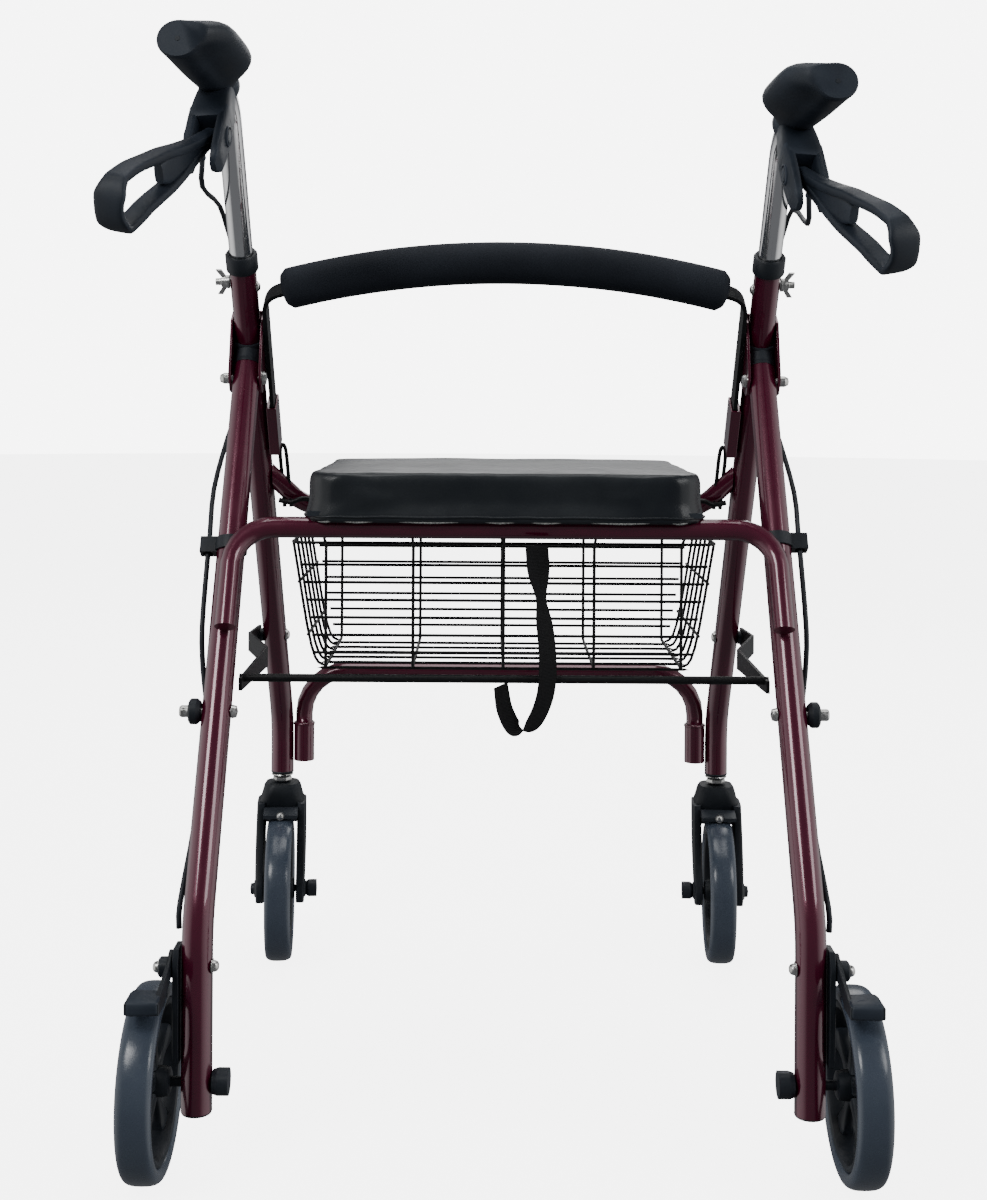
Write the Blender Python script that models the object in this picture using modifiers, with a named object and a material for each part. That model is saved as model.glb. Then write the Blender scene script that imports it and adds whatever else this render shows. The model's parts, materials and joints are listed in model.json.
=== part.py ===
"""Folding four-wheel rollator walker: aluminium A-frame, padded seat, wire basket and loop brakes.

Metres, +Z up. +X is the user's right, +Y is the way the walker rolls, and the user stands at -Y.
The floor is z = 0 and the footprint is centred on the origin.
"""

import math

import bmesh
import bpy
from mathutils import Matrix, Vector

COLLECTION = "rollator_walker"
GAP = 0.0003

# Frame layout. REAR_Y places the rear axle so that the footprint is centred.
REAR_Y = -0.2425
LEG_X = 0.245
LEG_R = 0.0127
SEAT_TUBE_R = 0.0095
HINGE_Y = REAR_Y + 0.247
HINGE_Z = 0.638
STEM_Y = REAR_Y + 0.545
FRONT_LEAN = 0.668
REAR_LEAN = 0.564
FRONT_AXIS_Y = REAR_Y + 0.286
FRONT_AXIS_Z = 0.640
FRONT_LEG_BOTTOM = 0.196
FRONT_LEG_TOP = 0.750
REAR_LEG_BOTTOM = 0.053
REAR_BEND_Z = 0.200
LEG_BEND_R = 0.080

# Telescoping handles, set on notches. The left handle stands one notch above the right.
HANDLE_R = 0.0111
BORE_CLEARANCE = 0.0003
BORE_DEPTH = 0.210
NOTCH = 0.032
LEFT_CORNER_Z = 0.888
LEFT_INSERTION = 0.141
HANDLE_BEND_R = 0.060
GRIP_FLARE = math.radians(4.5)
GRIP_RISE = math.radians(4.5)
GRIP_START = 0.034
GRIP_LENGTH = 0.128
GRIP_R = 0.0163

WING_Z = 0.7285

# Wheels.
WHEEL_R = 0.076
TYRE_WIDTH = 0.028
TYRE_DEPTH = 0.013
REAR_WHEEL_X = 0.2815
AXLE_R = 0.004
TRAIL = 0.045
CASTER_YAW = {-1: math.radians(4.5), 1: math.radians(3.3)}
FORK_TOP = 0.183

# Seat, basket and backrest.
REAR_SEAT_TUBE_Z = 0.506
FRONT_SEAT_TUBE_Z = 0.507
SEAT_HALF_WIDTH = 0.180
SEAT_REAR_Y = REAR_Y + 0.128
SEAT_DEPTH = 0.295
SEAT_BOTTOM = 0.5168
SEAT_BASE_THICK = 0.0045
SEAT_TOP = 0.5565
BASKET_REAR_Y = REAR_Y + 0.190
BASKET_FRONT_Y = REAR_Y + 0.368
BASKET_TOP = 0.488
BASKET_BOTTOM = 0.370
BASKET_TOP_HALF = 0.196
BASKET_BOTTOM_HALF = 0.175
BASKET_WALL = 0.0015
BACKREST_X = 0.2265
BACKREST_TOP_Z = 0.7471
BACKREST_ARCH_R = 0.729
BACKREST_PAD_HALF = 0.206
BACKREST_PAD_R = 0.0195
BACKREST_FOOT_Z = 0.578
STRIP_WIDTH = 0.022
STRIP_THICK = 0.004
STRIP_CORNER_R = 0.019

# Brace, brakes and cables.
ROD_Y = REAR_Y + 0.120
ROD_Z = 0.377
ROD_R = 0.0036
BRACE_PIVOT_Y = REAR_Y + 0.473
BRACE_PIVOT_Z = 0.360
BRACE_HEIGHT = 0.019
BRACE_THICK = 0.003
BRACE_INNER_X = 0.2280
BRACE_OUTER_X = 0.2630
LOCK_Z = 0.354
FOLD_BOLT_R = 0.0040
BRACKET_SHEET = 0.0028
BRACKET_TOP = 0.046
LEVER_LENGTH = 0.158
LEVER_HUB = 0.014
HOUSING_WIDTH = 0.029
BRAKE_PIVOT_Z = 0.168
CABLE_R = 0.0024
CLIP_Z = {"left": 0.487, "right": 0.493}

PAINT = ("burgundy_paint", (0.135, 0.012, 0.030), 0.28, 0.35)
CHROME = ("chrome", (0.80, 0.81, 0.82), 0.10, 1.0)
ZINC = ("zinc_steel", (0.60, 0.60, 0.61), 0.32, 1.0)
BLACK_PLASTIC = ("black_plastic", (0.018, 0.021, 0.025), 0.45, 0.0)
BLACK_STEEL = ("black_steel", (0.020, 0.021, 0.023), 0.38, 0.4)
GRIP_RUBBER = ("grip_rubber", (0.020, 0.024, 0.030), 0.62, 0.0)
TYRE_RUBBER = ("grey_tyre", (0.120, 0.150, 0.200), 0.50, 0.0)
VINYL = ("seat_vinyl", (0.018, 0.022, 0.027), 0.42, 0.0)
FOAM = ("backrest_foam", (0.017, 0.019, 0.023), 0.80, 0.0)
WEBBING = ("strap_webbing", (0.012, 0.013, 0.014), 0.85, 0.0)

FRONT_UP = Vector((0.0, -FRONT_LEAN, 1.0)).normalized()
REAR_UP = Vector((0.0, REAR_LEAN, 1.0)).normalized()
SIDES = (("left", -1), ("right", 1))


def front_axis(side, z):
    """Point on the straight part of a front leg's axis."""
    return Vector((side * LEG_X, FRONT_AXIS_Y - FRONT_LEAN * (z - FRONT_AXIS_Z), z))


def rear_axis(side, z):
    """Point on the slanted part of a rear leg's axis."""
    return Vector((side * LEG_X, HINGE_Y + REAR_LEAN * (z - HINGE_Z), z))


def clear_scene():
    for old in list(bpy.data.objects):
        bpy.data.objects.remove(old)


def make_collection(name):
    collection = bpy.data.collections.new(name)
    bpy.context.scene.collection.children.link(collection)
    return collection


def make_material(spec):
    name, colour, roughness, metallic = spec
    material = bpy.data.materials.get(name)
    if material:
        return material
    material = bpy.data.materials.new(name)
    material.use_nodes = True
    shader = material.node_tree.nodes["Principled BSDF"]
    shader.inputs["Base Color"].default_value = (*colour, 1.0)
    shader.inputs["Roughness"].default_value = roughness
    shader.inputs["Metallic"].default_value = metallic
    return material


def add_object(name, mesh, spec):
    obj = bpy.data.objects.new(name, mesh)
    mesh.materials.clear()
    mesh.materials.append(make_material(spec))
    PARTS.objects.link(obj)
    return obj


def from_bmesh(name, bm, spec, smooth=True):
    bmesh.ops.recalc_face_normals(bm, faces=bm.faces)
    mesh = bpy.data.meshes.new(name)
    bm.to_mesh(mesh)
    bm.free()
    if smooth:
        mesh.shade_smooth()
        mesh.set_sharp_from_angle(angle=math.radians(35))
    return add_object(name, mesh, spec)


def make_helper(obj):
    """Turn an object into a Boolean operand that is not a part."""
    PARTS.objects.unlink(obj)
    HELPERS.objects.link(obj)
    obj.hide_render = True
    obj.display_type = "WIRE"
    return obj


def boolean(obj, operand, operation):
    make_helper(operand)
    modifier = obj.modifiers.new(operation.lower(), "BOOLEAN")
    modifier.operation = operation
    modifier.object = operand
    modifier.solver = "EXACT"
    return obj


def cut(obj, *cutters):
    for cutter in cutters:
        boolean(obj, cutter, "DIFFERENCE")
    return obj


def fuse(obj, *others):
    for other in others:
        boolean(obj, other, "UNION")
    return obj


def bevel(obj, width, segments=2, angle=40):
    modifier = obj.modifiers.new("bevel", "BEVEL")
    modifier.width = width
    modifier.segments = segments
    modifier.limit_method = "ANGLE"
    modifier.angle_limit = math.radians(angle)
    return obj


def filleted(points, radius, steps=5):
    """Polyline through points with each inner corner replaced by an arc of the given radius."""
    points = [Vector(p) for p in points]
    path = [points[0]]
    for before, corner, after in zip(points, points[1:], points[2:]):
        a = (before - corner).normalized()
        b = (after - corner).normalized()
        half = a.angle(b) / 2.0
        if half > math.radians(89.5):
            path.append(corner)
            continue
        centre = corner + (a + b).normalized() * (radius / math.sin(half))
        start = (corner + a * (radius / math.tan(half)) - centre).normalized()
        end = (corner + b * (radius / math.tan(half)) - centre).normalized()
        for step in range(steps + 1):
            path.append(centre + start.slerp(end, step / steps) * radius)
    path.append(points[-1])
    return path


def smooth_path(points, samples):
    """Evenly stepped points on a Catmull-Rom curve through hand-set points."""
    points = [Vector(p) for p in points]
    ends = [2 * points[0] - points[1], *points, 2 * points[-1] - points[-2]]
    path = []
    for a, b, c, d in zip(ends, ends[1:], ends[2:], ends[3:]):
        for step in range(samples):
            t = step / samples
            path.append(0.5 * (2 * b + (c - a) * t + (2 * a - 5 * b + 4 * c - d) * t**2
                               + (3 * b - a - 3 * c + d) * t**3))
    path.append(points[-1])
    return path


def tube(name, path, radius, spec, resolution=5):
    """Closed solid rod along a path, as a bevelled curve turned into a mesh."""
    curve = bpy.data.curves.new(name, "CURVE")
    curve.dimensions = "3D"
    curve.bevel_depth = radius
    curve.bevel_resolution = resolution
    curve.use_fill_caps = True
    spline = curve.splines.new("POLY")
    spline.points.add(len(path) - 1)
    for point, place in zip(spline.points, path):
        point.co = (*place, 1.0)
    return curve_to_part(name, curve, Matrix.Identity(4), spec)


def plate(name, outlines, thickness, matrix, spec):
    """Flat closed outline, with holes if more outlines are given, extruded both ways."""
    curve = bpy.data.curves.new(name, "CURVE")
    curve.dimensions = "2D"
    curve.fill_mode = "BOTH"
    curve.extrude = thickness / 2.0
    for outline in outlines:
        spline = curve.splines.new("POLY")
        spline.use_cyclic_u = True
        spline.points.add(len(outline) - 1)
        for point, (u, v) in zip(spline.points, outline):
            point.co = (u, v, 0.0, 1.0)
    return curve_to_part(name, curve, matrix, spec)


def curve_to_part(name, curve, matrix, spec):
    source = bpy.data.objects.new(name + "_curve", curve)
    PARTS.objects.link(source)
    depsgraph = bpy.context.evaluated_depsgraph_get()
    mesh = bpy.data.meshes.new_from_object(source.evaluated_get(depsgraph))
    bpy.data.objects.remove(source)
    bm = bmesh.new()
    bm.from_mesh(mesh)
    bpy.data.meshes.remove(mesh)
    bmesh.ops.remove_doubles(bm, verts=bm.verts, dist=0.00001)
    part = from_bmesh(name, bm, spec)
    part.matrix_world = matrix
    return part


def cylinder(name, start, end, radius, spec, sides=24):
    start, end = Vector(start), Vector(end)
    axis = end - start
    bm = bmesh.new()
    bmesh.ops.create_cone(bm, cap_ends=True, segments=sides, radius1=radius,
                          radius2=radius, depth=axis.length)
    turn = axis.to_track_quat("Z", "Y").to_matrix().to_4x4()
    part = from_bmesh(name, bm, spec)
    part.matrix_world = Matrix.Translation((start + end) / 2.0) @ turn
    return part


def box(name, low, high, spec, matrix=None):
    low, high = Vector(low), Vector(high)
    size = high - low
    bm = bmesh.new()
    bmesh.ops.create_cube(bm, size=1.0, matrix=Matrix.Diagonal((*size, 1.0)))
    part = from_bmesh(name, bm, spec, smooth=False)
    part.matrix_world = (matrix or Matrix.Identity(4)) @ Matrix.Translation((low + high) / 2.0)
    return part


def turned(name, profile, axis_start, axis_dir, spec, sides=32):
    """Solid of revolution. The profile runs down its outer side as (radius, height) pairs."""
    bm = bmesh.new()
    verts = [bm.verts.new((radius, 0.0, height)) for radius, height in profile]
    for first, second in zip(verts, verts[1:] + verts[:1]):
        if first.co.x > 0.0 or second.co.x > 0.0:
            bm.edges.new((first, second))
    mesh = bpy.data.meshes.new(name)
    bm.to_mesh(mesh)
    bm.free()
    part = add_object(name, mesh, spec)
    modifier = part.modifiers.new("turn", "SCREW")
    modifier.axis = "Z"
    modifier.steps = sides
    modifier.render_steps = sides
    modifier.use_merge_vertices = True
    modifier.merge_threshold = 0.00005
    modifier.use_smooth_shade = True
    turn = Vector(axis_dir).to_track_quat("Z", "Y").to_matrix().to_4x4()
    part.matrix_world = Matrix.Translation(axis_start) @ turn
    return part


def frame_matrix(origin, x_axis, y_axis):
    """Matrix with the given origin and two axes; the third is their cross product."""
    x_axis = Vector(x_axis).normalized()
    y_axis = Vector(y_axis).normalized()
    z_axis = x_axis.cross(y_axis)
    return Matrix.Translation(origin) @ Matrix((x_axis, y_axis, z_axis)).transposed().to_4x4()


def joint_empty(name, place, parent=None):
    empty = bpy.data.objects.new(name, None)
    empty.empty_display_size = 0.03
    PARTS.objects.link(empty)
    empty.location = place
    if parent:
        attach(parent, empty)
    return empty


def attach(parent, *children):
    """Parent objects without moving them."""
    bpy.context.view_layer.update()
    for child in children:
        child.parent = parent
        child.matrix_parent_inverse = parent.matrix_world.inverted()


def arc_points(centre, radius, start_deg, end_deg, steps):
    cx, cy = centre
    return [(cx + radius * math.cos(math.radians(start_deg + (end_deg - start_deg) * i / steps)),
             cy + radius * math.sin(math.radians(start_deg + (end_deg - start_deg) * i / steps)))
            for i in range(steps + 1)]


def build_front_frame():
    """Front legs, seat tube, cross tube with its end sleeves, hinge brackets and bolts."""
    parts = []
    for label, side in SIDES:
        top = front_axis(side, FRONT_LEG_TOP)
        bend_z = FRONT_AXIS_Z - (STEM_Y - FRONT_AXIS_Y) / FRONT_LEAN
        path = [(side * LEG_X, STEM_Y, FRONT_LEG_BOTTOM), (side * LEG_X, STEM_Y, bend_z), top]
        leg = tube(f"front_leg_{label}", filleted(path, LEG_BEND_R), LEG_R, PAINT)
        bore = cylinder("leg_bore", top + FRONT_UP * 0.01, top - FRONT_UP * BORE_DEPTH,
                        HANDLE_R + BORE_CLEARANCE, PAINT, sides=16)
        parts.append(cut(leg, bore))
        parts.append(leg_collar(label, top))
        parts.append(hinge_bracket(label, side))
        parts.append(hinge_bolt(label, side))
        parts.append(backrest_socket(label, side))
    parts.append(front_seat_tube())
    parts.append(front_cross_tube())
    return parts


def leg_collar(label, top):
    """Plastic collar over a front leg's top, with a lip round the handle tube."""
    bore = HANDLE_R + BORE_CLEARANCE
    seat = LEG_R + GAP
    profile = [(bore, 0.005), (0.0142, 0.005), (0.0152, 0.0035), (0.0152, -0.010),
               (0.0146, -0.0125), (seat, -0.0125), (seat, GAP), (bore, GAP)]
    return turned(f"leg_collar_{label}", profile, top, FRONT_UP, BLACK_PLASTIC, sides=16)


def bracket_frame(side):
    """Local frame at the hinge: x along the front leg, y rearward from its axis, z across."""
    hinge = Vector((side * LEG_X, HINGE_Y, HINGE_Z))
    rearward = Vector((1.0, 0.0, 0.0)).cross(FRONT_UP)
    offset = (hinge - front_axis(side, HINGE_Z)).dot(rearward)
    if offset < 0.0:
        rearward = -rearward
        offset = -offset
    foot = hinge - rearward * offset
    return foot, rearward, offset


def hinge_bracket(label, side):
    """Pressed channel wrapped round the front leg, whose two cheeks carry the fold bolt."""
    foot, rearward, offset = bracket_frame(side)
    front = -LEG_R - BRACKET_SHEET
    back = offset + 0.0095
    inner_front = -LEG_R - GAP
    matrix = frame_matrix(foot, FRONT_UP, rearward)
    outline = [(BRACKET_TOP, front), (BRACKET_TOP, 0.002), (0.030, 0.020), (0.013, back - 0.003),
               (0.006, back), (-0.008, back), (-0.014, back - 0.006), (-0.020, 0.014),
               (-0.020, front)]
    channel = plate(f"hinge_bracket_{label}", [outline], 2 * (LEG_R + BRACKET_SHEET), matrix, PAINT)
    slot = box("channel_slot", (-0.06, inner_front, -LEG_R - GAP), (0.10, 0.10, LEG_R + GAP),
               PAINT, matrix)
    hole = cylinder("bolt_hole", (side * (LEG_X - 0.03), HINGE_Y, HINGE_Z),
                    (side * (LEG_X + 0.03), HINGE_Y, HINGE_Z), FOLD_BOLT_R + GAP, PAINT, sides=16)
    return cut(channel, slot, hole)


def hinge_bolt(label, side):
    """Fold bolt with a round head inside and a domed nut outside."""
    cheek = LEG_R + BRACKET_SHEET + GAP
    profile = [(0.0, cheek + 0.0095), (0.0036, cheek + 0.0085), (0.0052, cheek + 0.0050),
               (0.0052, cheek), (FOLD_BOLT_R, cheek), (FOLD_BOLT_R, -cheek), (0.0064, -cheek),
               (0.0058, -cheek - 0.0030), (0.0, -cheek - 0.0038)]
    return turned(f"hinge_bolt_{label}", profile, (side * LEG_X, HINGE_Y, HINGE_Z),
                  (side, 0.0, 0.0), ZINC, sides=12)


def backrest_socket(label, side):
    """Flat painted sleeve on the inner side of a front leg that holds the backrest strip."""
    centre_z = BACKREST_FOOT_Z + 0.016
    centre = front_axis(side, centre_z)
    rearward = bracket_frame(side)[1]
    matrix = frame_matrix(centre, FRONT_UP, rearward)
    across = 1.0 if matrix.col[2][0] * side > 0.0 else -1.0
    low = BACKREST_X - STRIP_THICK / 2 - 0.0022 - LEG_X
    high = -LEG_R - GAP
    z_pair = sorted((across * low, across * high))
    slot_pair = sorted((across * (BACKREST_X - STRIP_THICK / 2 - GAP - LEG_X),
                        across * (BACKREST_X + STRIP_THICK / 2 + GAP - LEG_X)))
    half = STRIP_WIDTH / 2
    sleeve = box(f"backrest_socket_{label}", (-0.030, -half - 0.0022, z_pair[0]),
                 (0.026, half + 0.0022, z_pair[1]), PAINT, matrix)
    slot = box("strip_slot", (-0.060, -half - GAP, slot_pair[0]),
               (0.060, half + GAP, slot_pair[1]), PAINT, matrix)
    return cut(sleeve, slot)


def front_seat_tube():
    """Cross tube under the seat's front, rising at both ends to the front legs."""
    end_z = 0.552
    ends = [front_axis(side, end_z) for side in (-1, 1)]
    level = front_axis(1, FRONT_SEAT_TUBE_Z)
    inset = LEG_X - 0.043
    path = [ends[0], (-inset, level.y, level.z), (inset, level.y, level.z), ends[1]]
    beam = tube("front_seat_tube", filleted(path, 0.040), SEAT_TUBE_R, PAINT, resolution=4)
    for side in (-1, 1):
        leg = cylinder("leg_cope", front_axis(side, 0.45), front_axis(side, 0.65),
                       LEG_R + GAP, PAINT, sides=20)
        outside = box("outer_trim", (side * LEG_X - 0.0127, -1.0, 0.0),
                      (side * LEG_X + 0.0127, 1.0, 1.0), PAINT)
        cut(beam, leg, outside)
    return beam


def front_cross_tube():
    """Arched lower cross tube whose feet are welded into sleeves beside the front legs."""
    sleeve_r = 0.0114
    foot_x = LEG_X - LEG_R - sleeve_r - GAP
    arch_z = 0.309
    foot_z = 0.222
    path = [(-foot_x, STEM_Y, foot_z), (-foot_x, STEM_Y, arch_z), (foot_x, STEM_Y, arch_z),
            (foot_x, STEM_Y, foot_z)]
    beam = tube("front_cross_tube", filleted(path, 0.048, steps=6), SEAT_TUBE_R, PAINT,
                resolution=4)
    for side in (-1, 1):
        sleeve = cylinder("sleeve", (side * foot_x, STEM_Y, 0.208),
                          (side * foot_x, STEM_Y, 0.249), sleeve_r, PAINT, sides=16)
        fuse(beam, sleeve)
    return beam


def build_rear_frame():
    """Rear legs, rear seat tube, lock bolts and cable clips, all turning on the fold bolts."""
    parts = []
    for label, side in SIDES:
        top = Vector((side * LEG_X, HINGE_Y, HINGE_Z)) + REAR_UP * 0.0165
        bend_z = HINGE_Z - (HINGE_Y - REAR_Y) / REAR_LEAN
        path = [(side * LEG_X, REAR_Y, REAR_LEG_BOTTOM), (side * LEG_X, REAR_Y, bend_z), top]
        leg = tube(f"rear_leg_{label}", filleted(path, LEG_BEND_R), LEG_R, PAINT)
        fold_hole = cylinder("fold_hole", (side * (LEG_X - 0.02), HINGE_Y, HINGE_Z),
                             (side * (LEG_X + 0.02), HINGE_Y, HINGE_Z), FOLD_BOLT_R + GAP, PAINT,
                             sides=16)
        lock = rear_axis(side, LOCK_Z)
        lock_hole = cylinder("lock_hole", lock - Vector((0.02, 0, 0)),
                             lock + Vector((0.02, 0, 0)), 0.0030 + GAP, PAINT, sides=16)
        axle_hole = cylinder("axle_hole", (side * (LEG_X - 0.02), REAR_Y, WHEEL_R),
                             (side * (LEG_X + 0.02), REAR_Y, WHEEL_R), AXLE_R + GAP, PAINT,
                             sides=16)
        parts.append(cut(leg, fold_hole, lock_hole, axle_hole))
        parts.append(lock_bolt(label, side, lock))
        parts.append(lock_knob(label, side, lock))
        parts.append(cable_clip(label, side))
        parts.append(brake_bracket(label, side))
        parts.append(rear_axle(label, side))
    parts.append(rear_seat_tube())
    return parts


def lock_bolt(label, side, lock):
    edge = LEG_R + GAP
    knob = 0.0105
    profile = [(0.0, edge + knob + 0.0085), (0.0040, edge + knob + 0.0080),
               (0.0052, edge + knob + 0.0065), (0.0052, edge + knob + GAP),
               (0.0030, edge + knob + GAP), (0.0030, -edge), (0.0060, -edge),
               (0.0050, -edge - 0.0040), (0.0, -edge - 0.0055)]
    return turned(f"lock_bolt_{label}", profile, lock, (side, 0.0, 0.0), ZINC, sides=12)


def lock_knob(label, side, lock):
    edge = LEG_R + GAP
    bore = 0.0030 + GAP
    profile = [(bore, edge + 0.0105), (0.0090, edge + 0.0105), (0.0112, edge + 0.0085),
               (0.0112, edge + 0.0035), (0.0080, edge), (bore, edge)]
    return turned(f"lock_knob_{label}", profile, lock, (side, 0.0, 0.0), BLACK_PLASTIC, sides=16)


def cable_clip(label, side):
    """Plastic clip round the rear leg with an ear that holds the brake cable."""
    centre = rear_axis(side, CLIP_Z[label])
    ring_r = LEG_R + 0.0020
    clip = cylinder(f"cable_clip_{label}", centre - REAR_UP * 0.006, centre + REAR_UP * 0.006,
                    ring_r, BLACK_PLASTIC, sides=20)
    matrix = frame_matrix(centre, (1, 0, 0), REAR_UP)
    reach = sorted((side * (LEG_R - 0.001), side * (LEG_R + 0.0145)))
    ear = box("clip_ear", (reach[0], -0.0075, -0.0060), (reach[1], 0.0075, 0.0060),
              BLACK_PLASTIC, matrix)
    hole = cylinder("clip_bore", centre - REAR_UP * 0.02, centre + REAR_UP * 0.02,
                    LEG_R + GAP, PAINT, sides=20)
    at = centre + Vector((side * (LEG_R + 0.0075), 0.0, 0.0))
    groove = cylinder("cable_bore", at - REAR_UP * 0.02, at + REAR_UP * 0.02,
                      CABLE_R + 0.0024, PAINT, sides=12)
    return cut(fuse(clip, ear), hole, groove)


def brake_bracket(label, side):
    """Moulded bracket on the outer side of the rear leg that carries the brake shoe."""
    x_in = LEG_X + LEG_R + GAP
    outline = [(0.010, 0.185), (0.012, 0.176), (0.008, 0.158), (0.010, 0.105), (0.004, 0.092),
               (-0.008, 0.092), (-0.011, 0.105), (-0.012, 0.158), (-0.014, 0.172),
               (-0.008, 0.185)]
    matrix = frame_matrix((side * (x_in + 0.0025), REAR_Y, 0.0), (0, 1, 0), (0, 0, 1))
    return plate(f"brake_bracket_{label}", [outline], 0.005, matrix, BLACK_PLASTIC)


def rear_axle(label, side):
    """Rear axle: black cap inside the leg, shank through leg and wheel, nut outside."""
    edge = LEG_R + GAP
    hub_out = REAR_WHEEL_X - LEG_X + 0.0165
    profile = [(0.0, hub_out + 0.006), (0.0060, hub_out + 0.005), (0.0060, hub_out + GAP),
               (AXLE_R, hub_out + GAP), (AXLE_R, -edge), (0.0095, -edge), (0.0108, -edge - 0.004),
               (0.0108, -edge - 0.0130), (0.0, -edge - 0.0140)]
    return turned(f"rear_axle_{label}", profile, (side * LEG_X, REAR_Y, WHEEL_R),
                  (side, 0.0, 0.0), BLACK_STEEL, sides=12)


def rear_seat_tube():
    """Seat support tube lapped behind the rear legs."""
    drop_x = 0.2405
    offset = (LEG_R + SEAT_TUBE_R + GAP) / REAR_UP.z
    level_y = rear_axis(1, REAR_SEAT_TUBE_Z).y - offset
    end_z = 0.424
    end_y = rear_axis(1, end_z).y - offset
    path = [(-drop_x, end_y, end_z), (-drop_x, level_y, REAR_SEAT_TUBE_Z),
            (drop_x, level_y, REAR_SEAT_TUBE_Z), (drop_x, end_y, end_z)]
    return tube("rear_seat_tube", filleted(path, 0.036, steps=6), SEAT_TUBE_R, PAINT,
                resolution=4)


def build_brace():
    """Locking brace: two cranked arms on the front legs joined by a rod at their rear ends."""
    parts = []
    for label, side in SIDES:
        inner, outer = side * BRACE_INNER_X, side * BRACE_OUTER_X
        rear, front = ROD_Y - 0.014, BRACE_PIVOT_Y + 0.012
        bend_rear, bend_front = REAR_Y + 0.275, REAR_Y + 0.405
        half = BRACE_THICK / 2
        plan = [(inner - half, rear), (inner - half, bend_rear), (outer - half, bend_front),
                (outer - half, front), (outer + half, front), (outer + half, bend_front),
                (inner + half, bend_rear), (inner + half, rear)]
        matrix = Matrix.Translation((0.0, 0.0, BRACE_PIVOT_Z))
        arm = plate(f"brace_arm_{label}", [plan], 2 * BRACE_HEIGHT, matrix, BLACK_STEEL)
        slope = (ROD_Z - BRACE_PIVOT_Z) / (BRACE_PIVOT_Y - ROD_Y)
        for sign in (1, -1):
            edge = sign * BRACE_HEIGHT / 2
            low_y, high_y = rear - 0.01, front + 0.01
            z_low = BRACE_PIVOT_Z + slope * (BRACE_PIVOT_Y - low_y) + edge
            z_high = BRACE_PIVOT_Z + slope * (BRACE_PIVOT_Y - high_y) + edge
            far = BRACE_PIVOT_Z + sign * 0.08
            wedge = [(low_y, z_low), (high_y, z_high), (high_y, far), (low_y, far)]
            trim = plate("arm_trim", [wedge], 0.6,
                         frame_matrix((0, 0, 0), (0, 1, 0), (0, 0, 1)), BLACK_STEEL)
            cut(arm, trim)
        rod_hole = cylinder("rod_hole", (inner - 0.01, ROD_Y, ROD_Z), (inner + 0.01, ROD_Y, ROD_Z),
                            ROD_R + GAP, BLACK_STEEL, sides=12)
        parts.append(cut(arm, rod_hole))
    reach = BRACE_INNER_X + BRACE_THICK / 2 + 0.0012
    parts.append(cylinder("brace_rod", (-reach, ROD_Y, ROD_Z), (reach, ROD_Y, ROD_Z), ROD_R,
                          BLACK_STEEL, sides=12))
    return parts


def handle_frame(side):
    """Corner of a handle tube's bend and the direction of its grip."""
    corner = front_axis(side, LEFT_CORNER_Z)
    if side > 0:
        corner -= FRONT_UP * NOTCH
    level = math.cos(GRIP_RISE)
    grip_dir = Vector((side * math.sin(GRIP_FLARE) * level, -math.cos(GRIP_FLARE) * level,
                       math.sin(GRIP_RISE)))
    return corner, grip_dir


def lever_frame(side):
    """Lever pivot, its direction toward the loop and its hinge axis."""
    corner, _ = handle_frame(side)
    pivot = corner + Vector((side * 0.003, -0.078, -0.052))
    along = Vector((side * 0.333, -0.815, -0.475)).normalized()
    axis = (Vector((1, 0, 0)) - along * along.x).normalized()
    return pivot, along, axis


def handle_path(side):
    """Centre line of a handle tube from its foot inside the leg to its end inside the grip."""
    corner, grip_dir = handle_frame(side)
    insertion = LEFT_INSERTION + (NOTCH if side > 0 else 0.0)
    foot = front_axis(side, FRONT_LEG_TOP) - FRONT_UP * insertion
    tube_end = corner + grip_dir * (GRIP_START + GRIP_LENGTH - 0.012)
    return filleted([foot, corner, tube_end], HANDLE_BEND_R, 6)


def build_handle(label, side):
    corner, grip_dir = handle_frame(side)
    grip_end = corner + grip_dir * (GRIP_START + GRIP_LENGTH)
    post = tube(f"handle_tube_{label}", handle_path(side), HANDLE_R, CHROME)
    return [post, grip(label, side, corner, grip_dir, grip_end), brake_housing(label, side)]


def grip(label, side, corner, grip_dir, grip_end):
    """Moulded grip with a palm wing on its inner side."""
    start = corner + grip_dir * GRIP_START
    body = cylinder(f"grip_{label}", start, grip_end, GRIP_R, GRIP_RUBBER, sides=24)
    up = Vector((0, 0, 1))
    inward = grip_dir.cross(up).normalized() * side
    if inward.x * side > 0.0:
        inward = -inward
    bm = bmesh.new()
    bmesh.ops.create_uvsphere(bm, u_segments=16, v_segments=8, radius=1.0)
    bmesh.ops.scale(bm, vec=(0.048, 0.027, 0.0075), verts=bm.verts)
    wing = from_bmesh("palm_wing", bm, GRIP_RUBBER)
    centre = corner + grip_dir * (GRIP_START + 0.062) + inward * 0.013 + up * 0.008
    wing.matrix_world = frame_matrix(centre, grip_dir, inward)
    bore = cylinder("grip_bore", start - grip_dir * 0.02, grip_end - grip_dir * 0.011,
                    HANDLE_R + GAP, GRIP_RUBBER, sides=24)
    return cut(fuse(body, wing), bore)


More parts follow.
